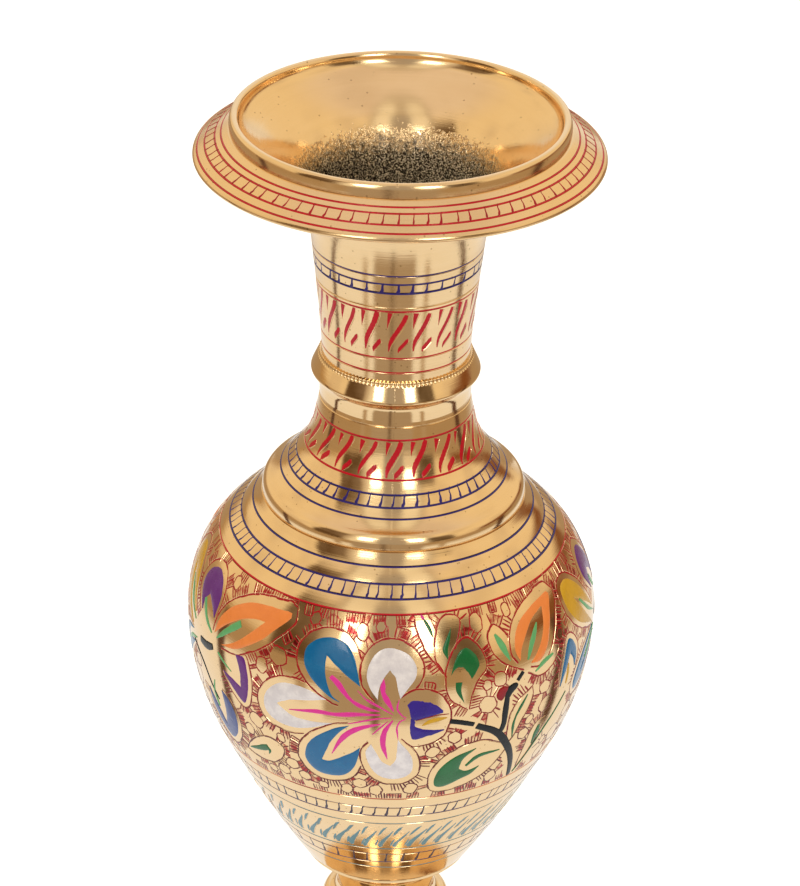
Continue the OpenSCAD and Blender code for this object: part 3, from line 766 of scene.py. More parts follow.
bigFlower = {
    "centre": (2.4, 145.3),
    # petals from the front one to the back one: outer line, inner line, which inner point is the notch
    "petals": [
        ("enamel_white", [(-5.6, 6), (-7.9, 9.3), (-9, 13), (-8.3, 16.8), (-5.8, 19.8), (-1.8, 20.8), (3, 19.3), (5.5, 16),
                    (5.2, 12.6), (3, 9.5), (0.8, 6.5)],
         [(-5.6, 6), (-5.3, 9.4), (-4.2, 12.3), (-2.3, 15), (-0.6, 12.6), (0, 9.6), (0.8, 6.5)], 3),
        ("enamel_white", [(-7.4, -9.6), (-9, -12.6), (-8.4, -16.6), (-6.4, -21), (-3, -23.3), (1.2, -23.3), (4.6, -21),
                    (5, -16), (3.4, -12), (1.4, -9.3), (0.4, -7.6)],
         [(-7.4, -9.6), (-5.8, -13), (-4.1, -16.2), (-1.7, -18), (-0.1, -15.6), (0.2, -11.5), (0.4, -7.6)], 3),
        ("enamel_blue", [(-16.6, 4), (-19.7, 5.3), (-25, 9.4), (-28.1, 13.8), (-28.2, 18), (-25, 21), (-20.6, 22),
                    (-16.1, 21.3), (-13.4, 18.4), (-11.9, 14.6), (-10.8, 9.7)],
         [(-16.6, 4), (-19.1, 6.1), (-20.9, 10.8), (-21.4, 14), (-21.4, 17), (-18.8, 15.2), (-15.2, 12.6), (-12.5, 10.8),
          (-10.8, 9.7)], 4),
        ("enamel_blue", [(-13.8, -3.7), (-18.1, -5.3), (-24.1, -9.8), (-27.5, -14.8), (-27.8, -19.9), (-24.9, -23.6),
                    (-20.1, -24.4), (-15.7, -23.2), (-12.6, -19.4), (-11.2, -15), (-10.6, -11.3)],
         [(-13.8, -3.7), (-16.8, -6.7), (-19.7, -11.2), (-22.6, -18.3), (-19.9, -18.1), (-15.8, -15.4), (-13, -13.5),
          (-10.6, -11.3)], 3),
        ("enamel_white", [(-20.5, 4.1), (-27, 6.3), (-34.6, 5.9), (-39.6, 1.8), (-41, -3.6), (-38.7, -7.4), (-32.3, -8.6),
                    (-25.4, -6.9), (-18.8, -3.6)],
         [(-20.5, 4.1), (-26.5, 2.4), (-32, 1.0), (-36.4, -1.6), (-31, -4.2), (-25, -4.4), (-18.8, -3.6)], 3),
    ],
    "veins": [([(-19.6, 11.6), (-17.3, 9.8), (-14.9, 6.8), (-12.2, 4.4), (-8.4, 2.8), (-5, 2.2)], 0.95, (0.7, 1, 0.8, 0.5,
                0.75, 0.6, 0.1)),
              ([(-4, 12.4), (-4.2, 8.8), (-3.1, 6.1), (-1.1, 2.4)], 0.9, (0.1, 0.9, 0.7, 1, 0.7, 0.2)),
              ([(-32.2, -2.4), (-28.2, -1.5), (-23, -0.5), (-18, -0.4), (-11.5, 0.6), (-4.8, 1)], 0.85, (0.1, 0.5, 0.9,
                          0.7, 1, 0.6, 0.15)),
              ([(-19.2, -15), (-16.2, -9.1), (-12.8, -5.4), (-8.3, -3.2), (-4.6, -2.2)], 0.9, (0.15, 0.6, 1, 1, 0.7, 0.15)),
              ([(-2.6, -15.2), (-3.9, -9.6), (-3.5, -4.9), (-1.2, -0.8)], 0.9, (0.1, 0.8, 1, 0.8, 0.2)),
              ([(-8.4, 5.9), (-4.6, 3.4), (-1.2, 1.2)], 0.28, (0.4, 1, 0.3)), ([(-7, -6), (-4.5, -3.2), (-2.6, -1.2)],
                          0.28, (0.4, 1, 0.3)),
              ([(-14, -3), (-6.7, -0.6), (-1.6, 0.1)], 0.3, (0.3, 1, 0.3)), ([(0.5, 6.2), (0, 3.2), (1.4, 0.9), (2.6, 0)],
                          0.3, (0.3, 1, 0.8, 0.4)),
              ([(0.4, -7.6), (0, -3.4), (0.9, -1.2), (2.4, -0.4)], 0.3, (0.3, 1, 0.8, 0.4)), ([(-11.5, 8.4), (-8.4, 5.4),
                          (-5.4, 3.6)], 0.2, (0.3, 1, 0.3))],
    "heart": [(1.0, 6.8), (4.2, 8.9), (7.4, 9.2), (12.5, 7.1), (15.6, 1.1), (14.4, -5.9), (11.2, -9.2), (5.0, -10.4),
              (1.4, -7.4)],
}


def drawBigFlower(dx):
    at = np.array([bigFlower["centre"][0] + dx, bigFlower["centre"][1]])
    addOutline(lineAt(bigFlower["heart"], at))
    for colour, outer, inner, corner in bigFlower["petals"]:
        petal(colour, outer, inner, corner, at)
    for points, half, shape in bigFlower["veins"]:
        stroke("enamel_pink", points, half, at=at, shape=shape)
    keepOff([(-30, -1), (0, 0)], 6.0, at)
    # cup of the flower: an indigo C round a gold tongue
    enamelAt("enamel_indigo", [(2.8, 4.4), (4.2, 5.6), (7.2, 5.4), (10.6, 4.2), (13.2, 1.8)], [(3.4, 3.0), (4.0, -0.2),
                (5.2, -1.0), (8.6, -0.1), (13.2, 0.9)], at, (0.2, 0.08))
    enamelAt("enamel_indigo", [(4.2, -0.2), (5.2, -1.4), (5.4, -3.2), (9.2, -4.5), (13.8, -5.0)], [(3.8, -0.6),
                (3.8, -4.6), (4.6, -7.8), (8.4, -7.1), (13.6, -5.3)], at, (0.08, 0.2))
    stroke("enamel_yellow", [(7.2, -2.9), (10.1, -1.5), (14.5, -0.9)], 0.75, 0.7, at)
    stroke("engraved_red", [(5.4, -1.0), (10.6, 0.2), (15.0, 0.3)], 0.16, 0.4, at)
    # stems
    for points, half, shape in (([(15.4, -2.4), (19.2, -3.6), (22.9, -5.1)], 0.85, (1, 1, 1, 0.9)), ([(23.9, -5.9),
                (30.2, -9.8), (34.6, -15.2), (38.8, -23.2), (41.6, -32.4)], 1.15, (0.9, 1, 1.15, 1.05, 0.9, 0.7)),
                                ([(33.6, 2.0), (33.2, -3.6), (33.0, -8.4), (31.6, -11.6)], 1.1, (0.8, 1, 0.9, 0.9)),
                                ([(39.3, 7.7), (37.1, 5.6)], 0.7, (1, 1))):
        stroke("enamel_black", points, half, at=at, shape=shape)
        keepOff(points, 2.3, at)
    stroke("engraved_red", [(31.4, 0.8), (31.6, 3.4), (33.6, 4.6)], 1.7, 0.5, at)
    stroke("enamel_black", [(33.6, 0.8), (34.4, 3.2), (37.2, 4.6)], 1.5, 0.4, at)
    # upright green leaf with an arched foot and a second small leaf under it
    petal("enamel_green", [(15.7, 12.4), (16.8, 15.6), (18.3, 17.9), (21, 19.2), (23.7, 17), (24.7, 14.3), (23.6, 12.2),
                (21.9, 10.3)],
          [(15.7, 12.4), (17.5, 14.2), (19.5, 14.1), (21, 12.2), (21.9, 10.3)], 2, at, rim=0)
    enamelAt("enamel_green", [(16.9, 10), (17.1, 7.1), (19.4, 3.2)], [(19, 9.8), (18.6, 7.2), (19.5, 3.2)], at)
    addOutline(lineAt([(20.6, 0.6), (15, 5.4), (13.9, 12.6), (15.9, 17.8), (19.4, 21.4), (22.6, 21.6), (25.8, 18),
                (26.9, 13), (23.9, 9.6), (21.8, 5.4), (21, 0.8)], at))
    # young shoots fanning up
    enamelAt("enamel_green", [(17.2, 25), (15.0, 22.2), (13.6, 19.6), (14.9, 17)], [(17.0, 24.6), (16.4, 22.2),
                (15.4, 19.8), (15, 17)], at)
    stroke("enamel_green", [(8.2, 27.8), (9.8, 25.6), (11.0, 23.0)], 0.55, 0.6, at)
    stroke("enamel_pink", [(7.6, 28.4), (8.8, 27.2)], 0.4, 0.6, at)
    addOutline(lineAt([(14.4, 12), (11.2, 18), (12.6, 25.4), (16.2, 28), (20.4, 26.6), (18.6, 21.6), (15.6, 15.6),
                (14.6, 12.2)], at))
    addOutline(lineAt([(13.4, 13), (7.8, 20.8), (5.6, 27.6), (9.4, 29), (12.2, 24), (12.8, 18.2), (13.6, 13.2)], at))
    # bud, with a green blade inside and one each side
    petal("enamel_orange", [(38.6, 11.3), (37.2, 14.8), (38.6, 19.4), (42.7, 22.5), (50.1, 24.3), (57.1, 24.7), (55, 20.8),
                (52.3, 15.8), (49.8, 11.4), (46.2, 8.6), (42.6, 9.2)],
          [(38.6, 11.3), (39.9, 14.8), (43.3, 18.7), (46.5, 21), (51.9, 22.6), (49.5, 16.9), (46.5, 12.7), (42.6, 9.2)], 4,
          at, rim=2.6, root=(40.8, 7.4))
    stroke("enamel_light_green", [(41.4, 10.6), (43.6, 14.4), (47.5, 19.5)], 0.95, at=at, shape=(0.3, 0.8, 1, 0.9, 0.2))
    stroke("enamel_light_green", [(35.0, 12.4), (33.1, 17.0), (31.2, 20.8)], 1.1, at=at, shape=(0.1, 0.6, 1, 0.9, 0.35))
    stroke("enamel_light_green", [(44.0, 5.9), (47.8, 7.6), (52.0, 8.4)], 0.8, at=at, shape=(0.2, 0.9, 1, 0.4))
    addOutline(lineAt([(39.6, 8.2), (34, 11.4), (29.8, 15.6), (28.6, 20.6), (31.6, 23.4), (35.6, 19.2), (36.2, 13.4)], at))
    addOutline(lineAt([(41, 6.6), (46, 3.8), (52, 5.2), (55.4, 9.4), (52.6, 11.4)], at))
    # low leaf with a swallow tail
    petal("enamel_green", [(24.6, -14.6), (18.3, -16.2), (14, -19.8), (12.3, -24), (12.8, -27.8), (16.1, -28.6),
                (20.8, -26.6), (24.3, -25.2), (26.8, -22.4)],
          [(24.6, -14.6), (20.9, -17.9), (19.9, -21.7), (22.5, -23.2), (26.8, -22.4)], 2, at, rim=0)
    stroke("enamel_green", [(22.0, -21.0), (26, -18), (33.2, -18.0)], 0.8, at=at, shape=(0.5, 1, 0.7, 0.15))
    addOutline(lineAt([(34, -15.4), (26, -11.8), (18.4, -13), (12.2, -18), (10.2, -25), (12.6, -30.6), (22, -30),
                (30, -26.2), (36, -18.4)], at))
    # grass blades by the stem
    stroke("enamel_green", [(41.2, -0.6), (38, -5.6), (36.8, -9.4), (37.1, -14.6)], 0.55, at=at, shape=(0.2, 1, 0.5, 0.9,
                0.2))
    addOutline(lineAt([(42.8, 1.6), (36.6, -2.4), (34.6, -9), (36, -16.4), (40, -9.6), (43.4, -2.6), (43, 1.4)], at))
    enamelAt("enamel_green", [(48.2, -15.2), (47, -18), (47.3, -22)], [(49.2, -15.4), (49.4, -18.2), (47.5, -22)], at)
    addOutline(lineAt([(51, -12.6), (46.4, -13.4), (44.4, -18), (43.6, -30), (48.6, -21), (51.6, -14.4)], at))
    stroke("enamel_green", [(60.6, -9), (55, -14.8), (49.8, -20.8), (43.2, -32)], 0.35, 0.4, at)
    keepOff([(60, -9.5), (50, -21), (44, -31)], 1.8, at)
    keepOff([(42, -32), (39, -24), (35, -16)], 2.8, at)


smallFlower = {
    "centre": (-61.0, 152.5),
    "petals": [
        ("enamel_orange", [(-0.5, 2.3), (0.6, 7.5), (4.5, 12.5), (10.7, 16), (16.9, 17.4), (22, 17.9), (28.4, 17.6),
                    (23.6, 12.6), (20.2, 9), (14.6, 4.7), (10, 1.9), (3.8, 0.5)],
         [(-0.5, 2.3), (3.7, 6.4), (8.3, 10), (13.1, 12.4), (19.4, 13.7), (15.5, 9.6), (12.1, 6.1), (8.2, 3), (3.8, 0.5)],
         4, 2.3),
        ("enamel_violet", [(-10.5, 4.9), (-13.6, 8.4), (-15.9, 12), (-14.5, 15.9), (-10.2, 17.6), (-6.4, 17), (-3.2, 14.3),
                    (-2, 11), (-2.4, 6)],
         [(-10.5, 4.9), (-10.4, 8.2), (-8.6, 10.5), (-5.7, 8.9), (-2.4, 6)], 2, 2.0),
        ("enamel_violet", [(5.2, -7.3), (9.2, -11), (14.4, -14.4), (16.2, -9), (16.2, -3.9), (14.4, 1), (10.8, 0.6)],
         [(5.2, -7.3), (9.6, -8.0), (13.2, -9.2), (12.9, -4.2), (10.8, 0.6)], 2, 1.7),
        ("enamel_slate", [(-5.4, -19), (-4.8, -25.2), (-2, -30.2), (2.7, -33.6), (7.8, -28.6), (8.9, -22), (6.6, -17.6),
                    (3.2, -15.6)],
         [(-5.4, -19), (-1.4, -23), (1.6, -28.8), (3.4, -23), (3.2, -15.6)], 2, 2.0),
        ("enamel_yellow", [(-16.4, -3.0), (-22, -0.5), (-28.6, 3.5), (-33.4, 9.5), (-33.6, 15.5), (-28.4, 16.6), (-23, 13),
                    (-19, 7.6), (-14.8, 1.6)],
         [(-16.4, -3.0), (-22, 3), (-28, 10.6), (-21.6, 6.6), (-14.8, 1.6)], 2, 1.8),
        ("enamel_blue", [(-14, -8), (-18.6, -12), (-24, -17.4), (-29.6, -19.4), (-31.4, -14.8), (-27.4, -9), (-21.6, -5.6),
                    (-15.6, -4.6)],
         [(-14, -8), (-19.8, -9.6), (-26, -14.2), (-21.4, -7.6), (-15.6, -4.6)], 2, 1.8),
    ],
    "blades": [([(1.1, 1.4), (5, 5.3), (10.4, 9.9)], 1.15, (0.2, 0.7, 0.8, 1, 0.9)), ([(-10.2, 8.6), (-6.6, 4.2),
                (-2.1, 1.4)], 0.8, (0.9, 0.9, 0.8, 0.3)),
               ([(2.4, -2.8), (5.4, -4.4), (9.1, -5.9)], 0.4, (1, 0.8, 0.2)), ([(-0.6, -14.0), (-1.6, -18.4),
                           (-0.3, -23.3)], 0.5, (0.3, 1, 0.8)),
               ([(-14, -0.4), (-19.4, 3.2), (-25, 8.8)], 0.7, (0.3, 1, 0.6)), ([(-12.6, -6), (-18, -8.2), (-23, -11.8)],
                           0.7, (0.3, 1, 0.6))],
}


def drawSmallFlower(dx, swap):
    at = np.array([smallFlower["centre"][0] + dx, smallFlower["centre"][1]])
    for colour, outer, inner, corner, rim in smallFlower["petals"]:
        petal(swap.get(colour, colour), outer, inner, corner, at, rim, root=(-2, -1) if outer[0][0] > -13 else (-10, -2))
    for points, half, shape in smallFlower["blades"]:
        stroke("enamel_light_green", points, half, at=at, shape=shape)
    stroke("enamel_black", [(-8.9, -4.2), (-4.6, -4.0), (-0.8, -2.6)], 1.4, at=at, shape=(0.8, 1, 1, 0.7))
    stroke("enamel_black", [(-15.4, -7), (-7.6, -11.4), (-2.6, -17.0), (0.6, -20.4)], 0.3, 0.4, at)
    keepOff([(-14, -3), (0, 0)], 4.4, at)
    keepOff([(0, 0), (8, -5)], 3.6, at)
    keepOff([(-2, -4), (-3, -14)], 3.2, at)
    # a drop leaf in its own outline, low on the right
    stroke("enamel_green", [(12.6, -32.0), (17, -30.2), (21.4, -27.9)], 1.2, at=at, shape=(0.1, 0.5, 0.7, 1, 0.9))
    stroke("enamel_green", [(20.8, -28), (21.8, -29.2), (21.2, -30.6)], 0.7, at=at, shape=(1, 0.8, 0.2))
    addOutline(lineAt([(10.6, -33.4), (13.6, -29.4), (17.6, -25.6), (22.6, -23.2), (27.6, -24.8), (27, -29.2),
                (22.6, -33.4), (17, -34.6), (10.8, -33.6)], at))


for dx in (0.0, girth*146/360):
    drawBigFlower(dx)
drawSmallFlower(0.0, {})
drawSmallFlower(girth*151.6/360, {"enamel_orange": "enamel_slate", "enamel_slate": "enamel_orange"})
petal("enamel_blue", [(58.8, 140.0), (59.8, 148), (62.8, 154.4), (66.6, 151), (67.6, 146.7), (66.8, 143.4)],
      [(58.8, 140.0), (61.4, 144.4), (63.4, 149.4), (65.2, 147), (66.8, 143.4)], 2, np.zeros(2), 1.7, root=(63, 137))
stroke("enamel_yellow", [(62.6, 146.4), (62.8, 143.0), (62.2, 139.4)], 0.6, 0.5)
drawSmallFlower(girth*289/360, {"enamel_violet": "enamel_blue", "enamel_slate": "enamel_violet",
            "enamel_blue": "enamel_slate"})

ownNode = ["blue", "white", "indigo", "green", "orange", "violet", "slate", "yellow"]      # those the CAD has too


# enamel_light_green becomes enamelLightGreen
def pieceName(colour):
    first, *rest = colour.split("_")
    return "stemKnots" if colour == "engraved_red" else first + "".join(w.capitalize() for w in rest)


for colour, work in enamelWork.items():
    a, b = np.stack([w[0] for w in work]), np.stack([w[1] for w in work])
    pads(pieceName(colour), bellyWall, a, b, paint[colour], colour, high=0.16, sink=0.3, around=12, full=0.45,
         replaced=[colour] if colour[7:] in ownNode else [])
print("flowers laid", {k: len(v) for k, v in enamelWork.items()})


# lines cut round the flowers, and the ground between them

def offGirth(d):
    return (d + girth/2) % girth - girth/2


# signed distance from points to a closed drawing, negative inside (crossing count plus nearest edge)
def fromDrawing(p, poly):
    a, b = poly, np.roll(poly, -1, 0)
    middle = a[:, 0].mean()
    dx = (middle + offGirth(p[:, 0] - middle))[:, None] - a[None, :, 0]
    dy = p[:, None, 1] - a[None, :, 1]
    e = b - a
    t = np.clip((dx*e[:, 0] + dy*e[:, 1])/np.maximum(np.sum(e*e, 1), 1e-9), 0, 1)
    near = np.hypot(dx - t*e[:, 0], dy - t*e[:, 1]).min(1)
    crosses = ((dy < 0) != (dy - e[:, 1] < 0)) & (dx < e[:, 0]*dy/np.where(np.abs(e[:, 1]) < 1e-9, 1e-9, e[:, 1]))
    return np.where(crosses.sum(1) % 2 == 1, -near, near)


closedRims = [closed for _, closed in outlines]
engraving = {"low": 112.6, "high": 173.6, "rungGap": 0.92, "rungWide": 0.60, "lineWide": 0.58, "stained": 0.7}
lowLine, highLine = engraving["low"], engraving["high"]

# outlines are cut in short overlapping strokes; those inside a drawing in front are left out
cuts = []
for k, (line, _) in enumerate(outlines):
    s = runOf(line)
    start = np.arange(0, s[-1] - 0.5, 2.4)
    u = start[:, None] + np.linspace(-0.25, 2.65, 7)
    piece = np.stack([np.interp(u, s, line[:, 0]), np.interp(u, s, line[:, 1])], -1) + rng.normal(0, 0.07, (len(start), 1,
                2))
    mid = piece[:, 3]
    shown = (mid[:, 1] > lowLine) & (mid[:, 1] < highLine)
    for front in closedRims[:k]:
        shown &= fromDrawing(mid, front) > 0.15
    cuts.append(piece[shown])
cuts = np.concatenate(cuts)
cutHalf = engraving["lineWide"]/2*np.array([0.5, 0.9, 1.0, 1.0, 1.0, 0.9, 0.5])*rng.uniform(0.65, 1.35, (len(cuts), 1))
def engrave(name, paths, half, high, sink):
    pads(name, bellyWall, *strokeEdges(paths, half), paint["engraved_red"], "engraved_red", high=high, sink=sink)


engrave("petalOutlines", cuts, cutHalf, 0.05, 0.15)

# a map of what is taken, one cell to a quarter millimetre
cell = 0.25
mapWide, mapTall = int(girth/cell), int((highLine - lowLine)/cell)
gx, gy = np.meshgrid((np.arange(mapWide) + 0.5)*cell, lowLine + (np.arange(mapTall) + 0.5)*cell, indexing="ij")
taken = np.zeros(gx.shape, bool)
for x, y, r in coverWork:
    taken |= np.hypot(offGirth(gx - x), gy - y) < r
for poly in closedRims:
    corner, far = poly.min(0) - 0.5, poly.max(0) + 0.5
    (mx, my), (wide, tall) = (corner + far)/2, far - corner
    close = (np.abs(offGirth(gx - mx)) < wide/2) & (np.abs(gy - my) < tall/2) & ~taken
    taken[close] = fromDrawing(np.stack([gx[close], gy[close]], 1), poly) < 0.15
state = taken.astype(np.int8)      # 1: drawing or pebble, 2: hatched


# map cells of points, and which of them are inside the band
def cellsOf(p):
    i = np.floor((p[..., 0] % girth)/cell).astype(int) % mapWide
    j = np.floor((p[..., 1] - lowLine)/cell).astype(int)
    return i, j, (j >= 0) & (j < mapTall)


def lookUp(p):
    i, j, inside = cellsOf(p)
    return np.where(inside, state[i, np.clip(j, 0, mapTall - 1)], 1)


def mark(p, value):
    i, j, inside = cellsOf(p)
    i, j = i[inside], j[inside]
    state[i, j] = np.maximum(state[i, j], value) if value == 1 else np.where(state[i, j] == 1, 1, value)


rungs, ladderSides, stains = [], [], []


# rungs stand on the base points and run out along n until they meet the next line
def hatchRun(base, n, reach=4.4, openLong=0.0):
    t = np.arange(0.45, reach, 0.2)
    seen = lookUp(base[:, None] + t[None, :, None]*n[:, None])
    hit = seen == 1
    long = np.where(hit.any(1), t[hit.argmax(1)], openLong)
    crossed = ((seen == 2) & (t < long[:, None])).any(1)
    good = (long > 0.75) & ~crossed
    for group in np.split(np.arange(len(base)), np.flatnonzero(~good)):
        group = group[good[group]]
        if len(group) < 2:
            continue
        b0, n0, l0 = base[group], n[group], long[group] + 0.12
        slant = rng.uniform(-0.22, 0.22)*np.stack([-n0[:, 1], n0[:, 0]], 1)*l0[:, None]
        ends = b0 + n0*l0[:, None] + slant + rng.normal(0, 0.07, b0.shape)
        u = np.linspace(0, 1, 4)[None, :, None]
        rungs.extend(b0[:, None]*(1 - u) + ends[:, None]*u + rng.normal(0, 0.035, (len(group), 4, 2)))
        wide = np.linspace(-0.5, len(group) - 0.5, 4*len(group))
        at = np.arange(len(group))
        rowA = np.stack([np.interp(wide, at, b0[:, k]) for k in (0, 1)], 1)
        rowB = np.stack([np.interp(wide, at, ends[:, k]) for k in (0, 1)], 1)
        mark(rowA[:, None] + np.linspace(0, 1, 24)[None, :, None]*(rowB - rowA)[:, None], 2)
        if openLong and not hit[group].any():
            ladderSides.append(evenly(np.concatenate([ends[:1], ends, ends[-1:]]), 5))
        if rng.random() < engraving["stained"]:
            stains.append((evenly(rowA, 8), evenly(rowB, 8)))


# walk along a line in runs of rungs with bare gaps between
def hatchAlong(line, n, reach, openLong, gap=(1, 3)):
    k = int(rng.integers(0, 3))
    while k < len(line) - 2:
        count = int(rng.integers(4, 8))
        hatchRun(line[k:k + count], n[k:k + count], reach, openLong)
        k += count + int(rng.integers(*gap))


# pebbles of bare brass, largest first, with a lane left round each
rings, centresKept = [], []
w = np.linspace(0, 2*np.pi, 17)
for radius, lane, tries in ((3.4, 1.5, 1500), (2.8, 1.2, 2600), (2.3, 0.8, 4000), (1.7, 0.6, 3500)):
    q = np.linspace(0, 2*np.pi, 16, endpoint=False)
    around = np.stack([np.cos(q), np.sin(q)], 1)
    for c in np.stack([rng.uniform(0, girth, tries), rng.uniform(lowLine + 1, highLine - 1, tries)], 1):
        r = radius*rng.uniform(0.9, 1.08)
        if lookUp(np.concatenate([c + (r + lane)*around, c + 0.6*r*around])).any():
            continue
        rad = r*(0.97 + 0.06*np.cos(rng.integers(4, 7)*w + rng.uniform(0, 6.3)) + 0.07*np.cos(2*w + rng.uniform(0, 6.3)))
        ring = c + rad[:, None]*np.stack([np.cos(w), np.sin(w)], 1)
        ring[-1] = ring[0]
        rings.append(ring)
        centresKept.append(c)
        mark(c + np.sqrt(np.linspace(0, 1, 14))[:, None, None]*(evenly(ring, 56) - c)[None], 1)

# hatching: out from the drawings, then from the pebbles, then from the band's edges
step = engraving["rungGap"]
for line, closed in outlines:
    base = evenly(line, max(int(runOf(line)[-1]/step), 4))
    n = sideways(base[None])[0]
    n = np.where((fromDrawing(base + 0.5*n, closed) < 0)[:, None], -n, n)
    hatchAlong(base, n, 4.2, rng.uniform(2.0, 3.0), (1, 5))
for y, side in ((highLine, -1.0), (lowLine, 1.0)):
    base = np.stack([np.arange(0, girth, step), np.full(int(np.ceil(girth/step)), y)], 1)
    hatchAlong(base, np.tile([0.0, side], (len(base), 1)), 4.2, 2.2, (1, 4))
for ring, c in zip(rings, centresKept):
    base = evenly(ring, max(int(runOf(ring)[-1]/step), 6))
    n = (base - c)/np.hypot(*(base - c).T)[:, None]
    hatchAlong(base, n, 4.4, 0.0, (0, 2))
rings, rungPaths, sidePaths = np.stack(rings), np.stack(rungs), np.stack(ladderSides)
engrave("pebbles", rings, engraving["lineWide"]/2*0.9*rng.uniform(0.6, 1.3, rings.shape[:2]), 0.045, 0.12)
rungHalf = engraving["rungWide"]/2*np.array([0.85, 1.0, 0.95, 0.6])*rng.uniform(0.7, 1.3, (len(rungPaths), 1))
engrave("hatching", rungPaths, rungHalf, 0.04, 0.1)
engrave("ladderSides", sidePaths, 0.2*rng.uniform(0.7, 1.3, sidePaths.shape[:2]), 0.04, 0.1)
stainA, stainB = np.stack([w[0] for w in stains]), np.stack([w[1] for w in stains])
pads("stainedBrass", bellyWall, stainA, stainB, brass["stained"], "brass_body_upper", high=0.012, sink=0.06, around=6,
     full=0.3)
# bright burrs along one side of the cuts
for name, path, off in (("burrsGround", rungPaths[::2], 0.33), ("burrsOutline", cuts, 0.36)):
    pads(name, bellyWall, *strokeEdges(path + sideways(path)*off, 0.07*np.ones(path.shape[:2])), brass["collar"],
         "brass_body_upper", high=0.06, sink=0.1)
print("ground engraved: pebbles", len(rings), "rungs", len(rungPaths))


# camera, floor and light

cameraPlace = {"out": 0.8702, "up": 0.6775, "pitch": 28.69, "roll": 1.21, "turn": 0.11, "lens": 153.1}


def makeCamera():
    data = bpy.data.cameras.new("camera")
    data.sensor_fit = "HORIZONTAL"
    data.lens, data.sensor_width, data.clip_end = cameraPlace["lens"], 36.0, 20.0
    camera = bpy.data.objects.new("camera", data)
    scene.collection.objects.link(camera)
    pitch, roll, turn = (math.radians(cameraPlace[k]) for k in ("pitch", "roll", "turn"))
    camera.matrix_world = (Matrix.Translation((0, -cameraPlace["out"], cameraPlace["up"])) @ Matrix.Rotation(-turn, 4, "Z")
                           @ Matrix.Rotation(math.pi/2 - pitch, 4, "X") @ Matrix.Rotation(roll, 4, "Z"))
    scene.camera = camera


makeCamera()
stageLook = {
    "paper": (1.0, 0.985, 0.96), "paperEnds": 0.40, "beyond": (0.46, 0.33, 0.20), "paperGlow": 0.98, "paperSeen": 0.55,
    # painted shade on the paper, seen only in reflections: dark patches and strips by azimuth from, to, soft edge, how
    # far out they start, colour
    "paintedFloorShade": [(-32, 24, 3, 0.25, (0.45, 0.36, 0.27)), (-101, -97, 2.5, 0.17, (0.13, 0.07, 0.05)),
                  (97, 103, 3, 0.17, (0.12, 0.06, 0.04)), (-8, -6, 2, 0.22, (0.20, 0.14, 0.10)),
                  (-47, -44, 3, 0.30, (0.5, 0.38, 0.26)), (40, 43, 3, 0.30, (0.5, 0.38, 0.26))],
    # name, azimuth, distance, height, width, tallness, radiance
    "softBoxes": [("softBoxLeft", -22.5, 1.6, 1.05, 0.34, 0.80, 5.0), ("softBoxRight", 20.0, 1.6, 1.05, 0.34, 0.80, 5.0)],
    "boxColour": (1.0, 0.985, 0.95), "boxesAim": 0.2,      # height they point at
}


# smooth hill: 1 between low and high, falling to 0 over soft each side
def hill(tree, value, low, high, soft):
    up = spread(tree, value, low - soft, low, interpolation_type="SMOOTHSTEP")
    down = spread(tree, value, high, high + soft, 1.0, 0.0, interpolation_type="SMOOTHSTEP")
    return times(tree, up, down)


# degrees round the vase, 0 at the camera, from the x and y of a place
def azimuthOf(tree, place):
    return times(tree, mathNode(tree, "ARCTAN2", place[0], times(tree, place[1], -1.0)), 180/math.pi)


# the camera sees shown; every other ray sees lit
def splitForCamera(tree, lit, shown, out):
    path = add(tree, "ShaderNodeLightPath")
    fill(tree, out, in_0=add(tree, "ShaderNodeMixShader", in_0=path.outputs["Is Camera Ray"],
                             in_1=lit.outputs[0], in_2=shown.outputs[0]).outputs[0])


def makeFloor():
    look, edge, under = stageLook, 6, -0.0005
    mesh = bpy.data.meshes.new("floor")
    corners = [(x, y, under) for x, y in ((-edge, -edge), (edge, -edge), (edge, edge), (-edge, edge))]
    mesh.from_pydata(corners, [], [(0, 1, 2, 3)])
    floor = bpy.data.objects.new("floor", mesh)
    scene.collection.objects.link(floor)
    material, tree, bsdf, place, _ = startMaterial("floorPaper")
    out = add(tree, "ShaderNodeVectorMath", operation="LENGTH", in_0=place).outputs["Value"]
    colour = mixColour(tree, hill(tree, out, -1.0, look["paperEnds"], 0.25), look["beyond"], look["paper"])
    azimuth = azimuthOf(tree, splitOf(tree, place))
    # painted shade: dark patches and strips in the paper's glow, which only the brass's reflections see
    for a0, a1, soft, start, shade in look["paintedFloorShade"]:
        part = times(tree, hill(tree, azimuth, a0, a1, soft), hill(tree, out, start, 9.0, 0.03))
        colour = mixColour(tree, part, colour, shade)
    glow = add(tree, "ShaderNodeEmission", in_0=colour, in_1=look["paperGlow"])
    seen = add(tree, "ShaderNodeEmission", in_0=(1, 1, 1, 1), in_1=look["paperSeen"])
    fill(tree, bsdf, in_Base_Color=(0.95, 0.95, 0.95, 1), in_Roughness=1.0, in_Specular_IOR_Level=0.0)
    shown = add(tree, "ShaderNodeAddShader", in_0=bsdf.outputs[0], in_1=seen.outputs[0])
    splitForCamera(tree, glow, shown, tree.nodes["Material Output"])
    mesh.materials.append(material)


makeFloor()


def makeSoftBox(name, azimuth, away, up, wide, tall, radiance):
    data = bpy.data.lights.new(name, "AREA")
    data.shape, data.size, data.size_y = "RECTANGLE", wide, tall
    data.energy = radiance*math.pi*wide*tall
    data.color = stageLook["boxColour"]
    lamp = bpy.data.objects.new(name, data)
    a, tip = math.radians(azimuth), math.atan2(away, up - stageLook["boxesAim"])
    lamp.matrix_world = (Matrix.Translation((away*math.sin(a), -away*math.cos(a), up))
                         @ Matrix.Rotation(a, 4, "Z") @ Matrix.Rotation(tip, 4, "X"))
    lamp.visible_camera = False
    scene.collection.objects.link(lamp)


for box in stageLook["softBoxes"]:
    makeSoftBox(*box)


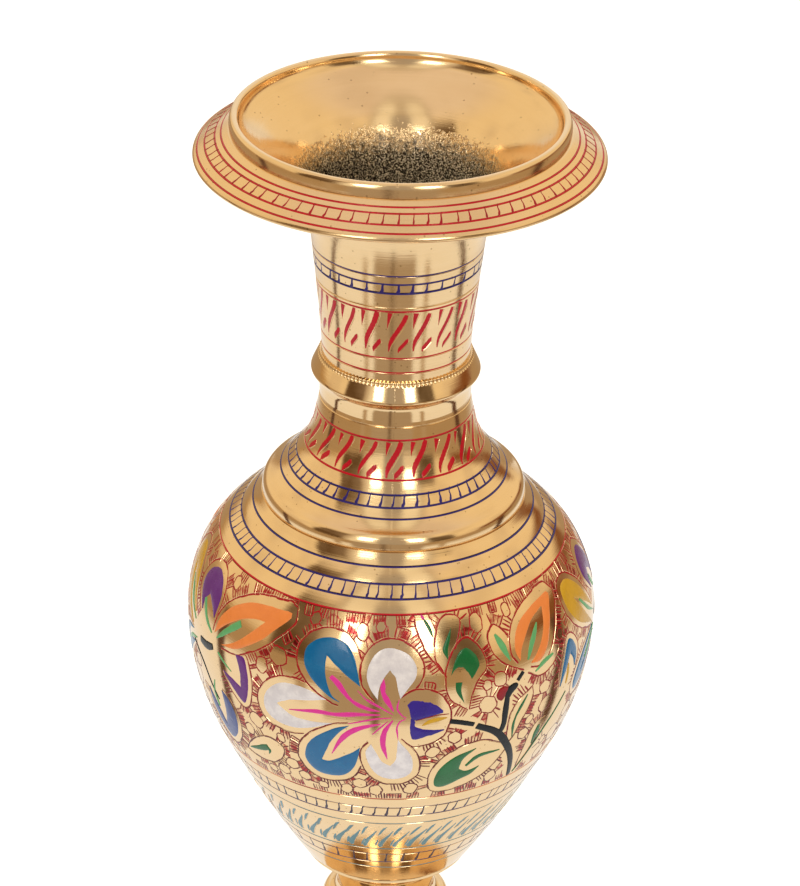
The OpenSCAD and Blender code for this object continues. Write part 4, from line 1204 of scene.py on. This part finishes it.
roomLook = {
    "low": (0.46, 0.29, 0.14), "middle": (0.96, 0.80, 0.55), "high": (0.88, 0.76, 0.66), "cloth": (0.56, 0.44, 0.34),
    # panels: azimuth from, to, soft; elevation from, to, soft; colour
    "panels": [(-36, 32, 14, -20, 74, 16, (0.62, 0.53, 0.42)), (-33, -12, 6, -5, 66, 14, (1.0, 0.93, 0.78)),
               (12, 31, 6, -5, 66, 14, (1.0, 0.93, 0.78)), (-11, 10, 4, -20, 52, 10, (0.44, 0.40, 0.36)),
               (-66, -44, 6, -30, 40, 14, (0.13, 0.075, 0.035)), (33, 50, 6, -30, 30, 12, (0.13, 0.085, 0.045)),
               (80, 142, 8, -30, 6, 9, (0.24, 0.09, 0.03)), (-160, -80, 10, -30, -2, 8, (0.48, 0.30, 0.13)),
               (158, 200, 8, -40, 40, 20, (1.0, 0.96, 0.9)), (-200, -164, 8, -40, 40, 20, (1.0, 0.96, 0.9))],
}


def makeRoom():
    world = bpy.data.worlds.new("studioTent")
    scene.world = world
    world.use_nodes = True
    tree, look = world.node_tree, roomLook
    tree.nodes.clear()
    way = add(tree, "ShaderNodeTexCoord").outputs["Generated"]
    place = splitOf(tree, way)
    azimuth = azimuthOf(tree, place)
    elevation = times(tree, mathNode(tree, "ARCSINE", place[2]), 180/math.pi)
    tent = mixColour(tree, hill(tree, elevation, 8, 200, 14), look["low"], look["middle"])
    tent = mixColour(tree, hill(tree, elevation, 66, 200, 24), tent, look["high"])
    for a0, a1, aSoft, e0, e1, eSoft, colour in look["panels"]:
        part = times(tree, hill(tree, azimuth, a0, a1, aSoft), hill(tree, elevation, e0, e1, eSoft))
        tent = mixColour(tree, part, tent, colour)
    # uneven cloth, so that broad reflections are never flat
    cloth = spread(tree, noiseOf(tree, way, 2.6, 3.0), 0.46, 0.66, 0.0, 0.35)
    room = add(tree, "ShaderNodeBackground", in_0=mixColour(tree, cloth, tent, look["cloth"]))
    white = add(tree, "ShaderNodeBackground", in_0=(1, 1, 1, 1))
    splitForCamera(tree, room, white, add(tree, "ShaderNodeOutputWorld"))


makeRoom()
scene.view_settings.view_transform = "Standard"
print("stage set")
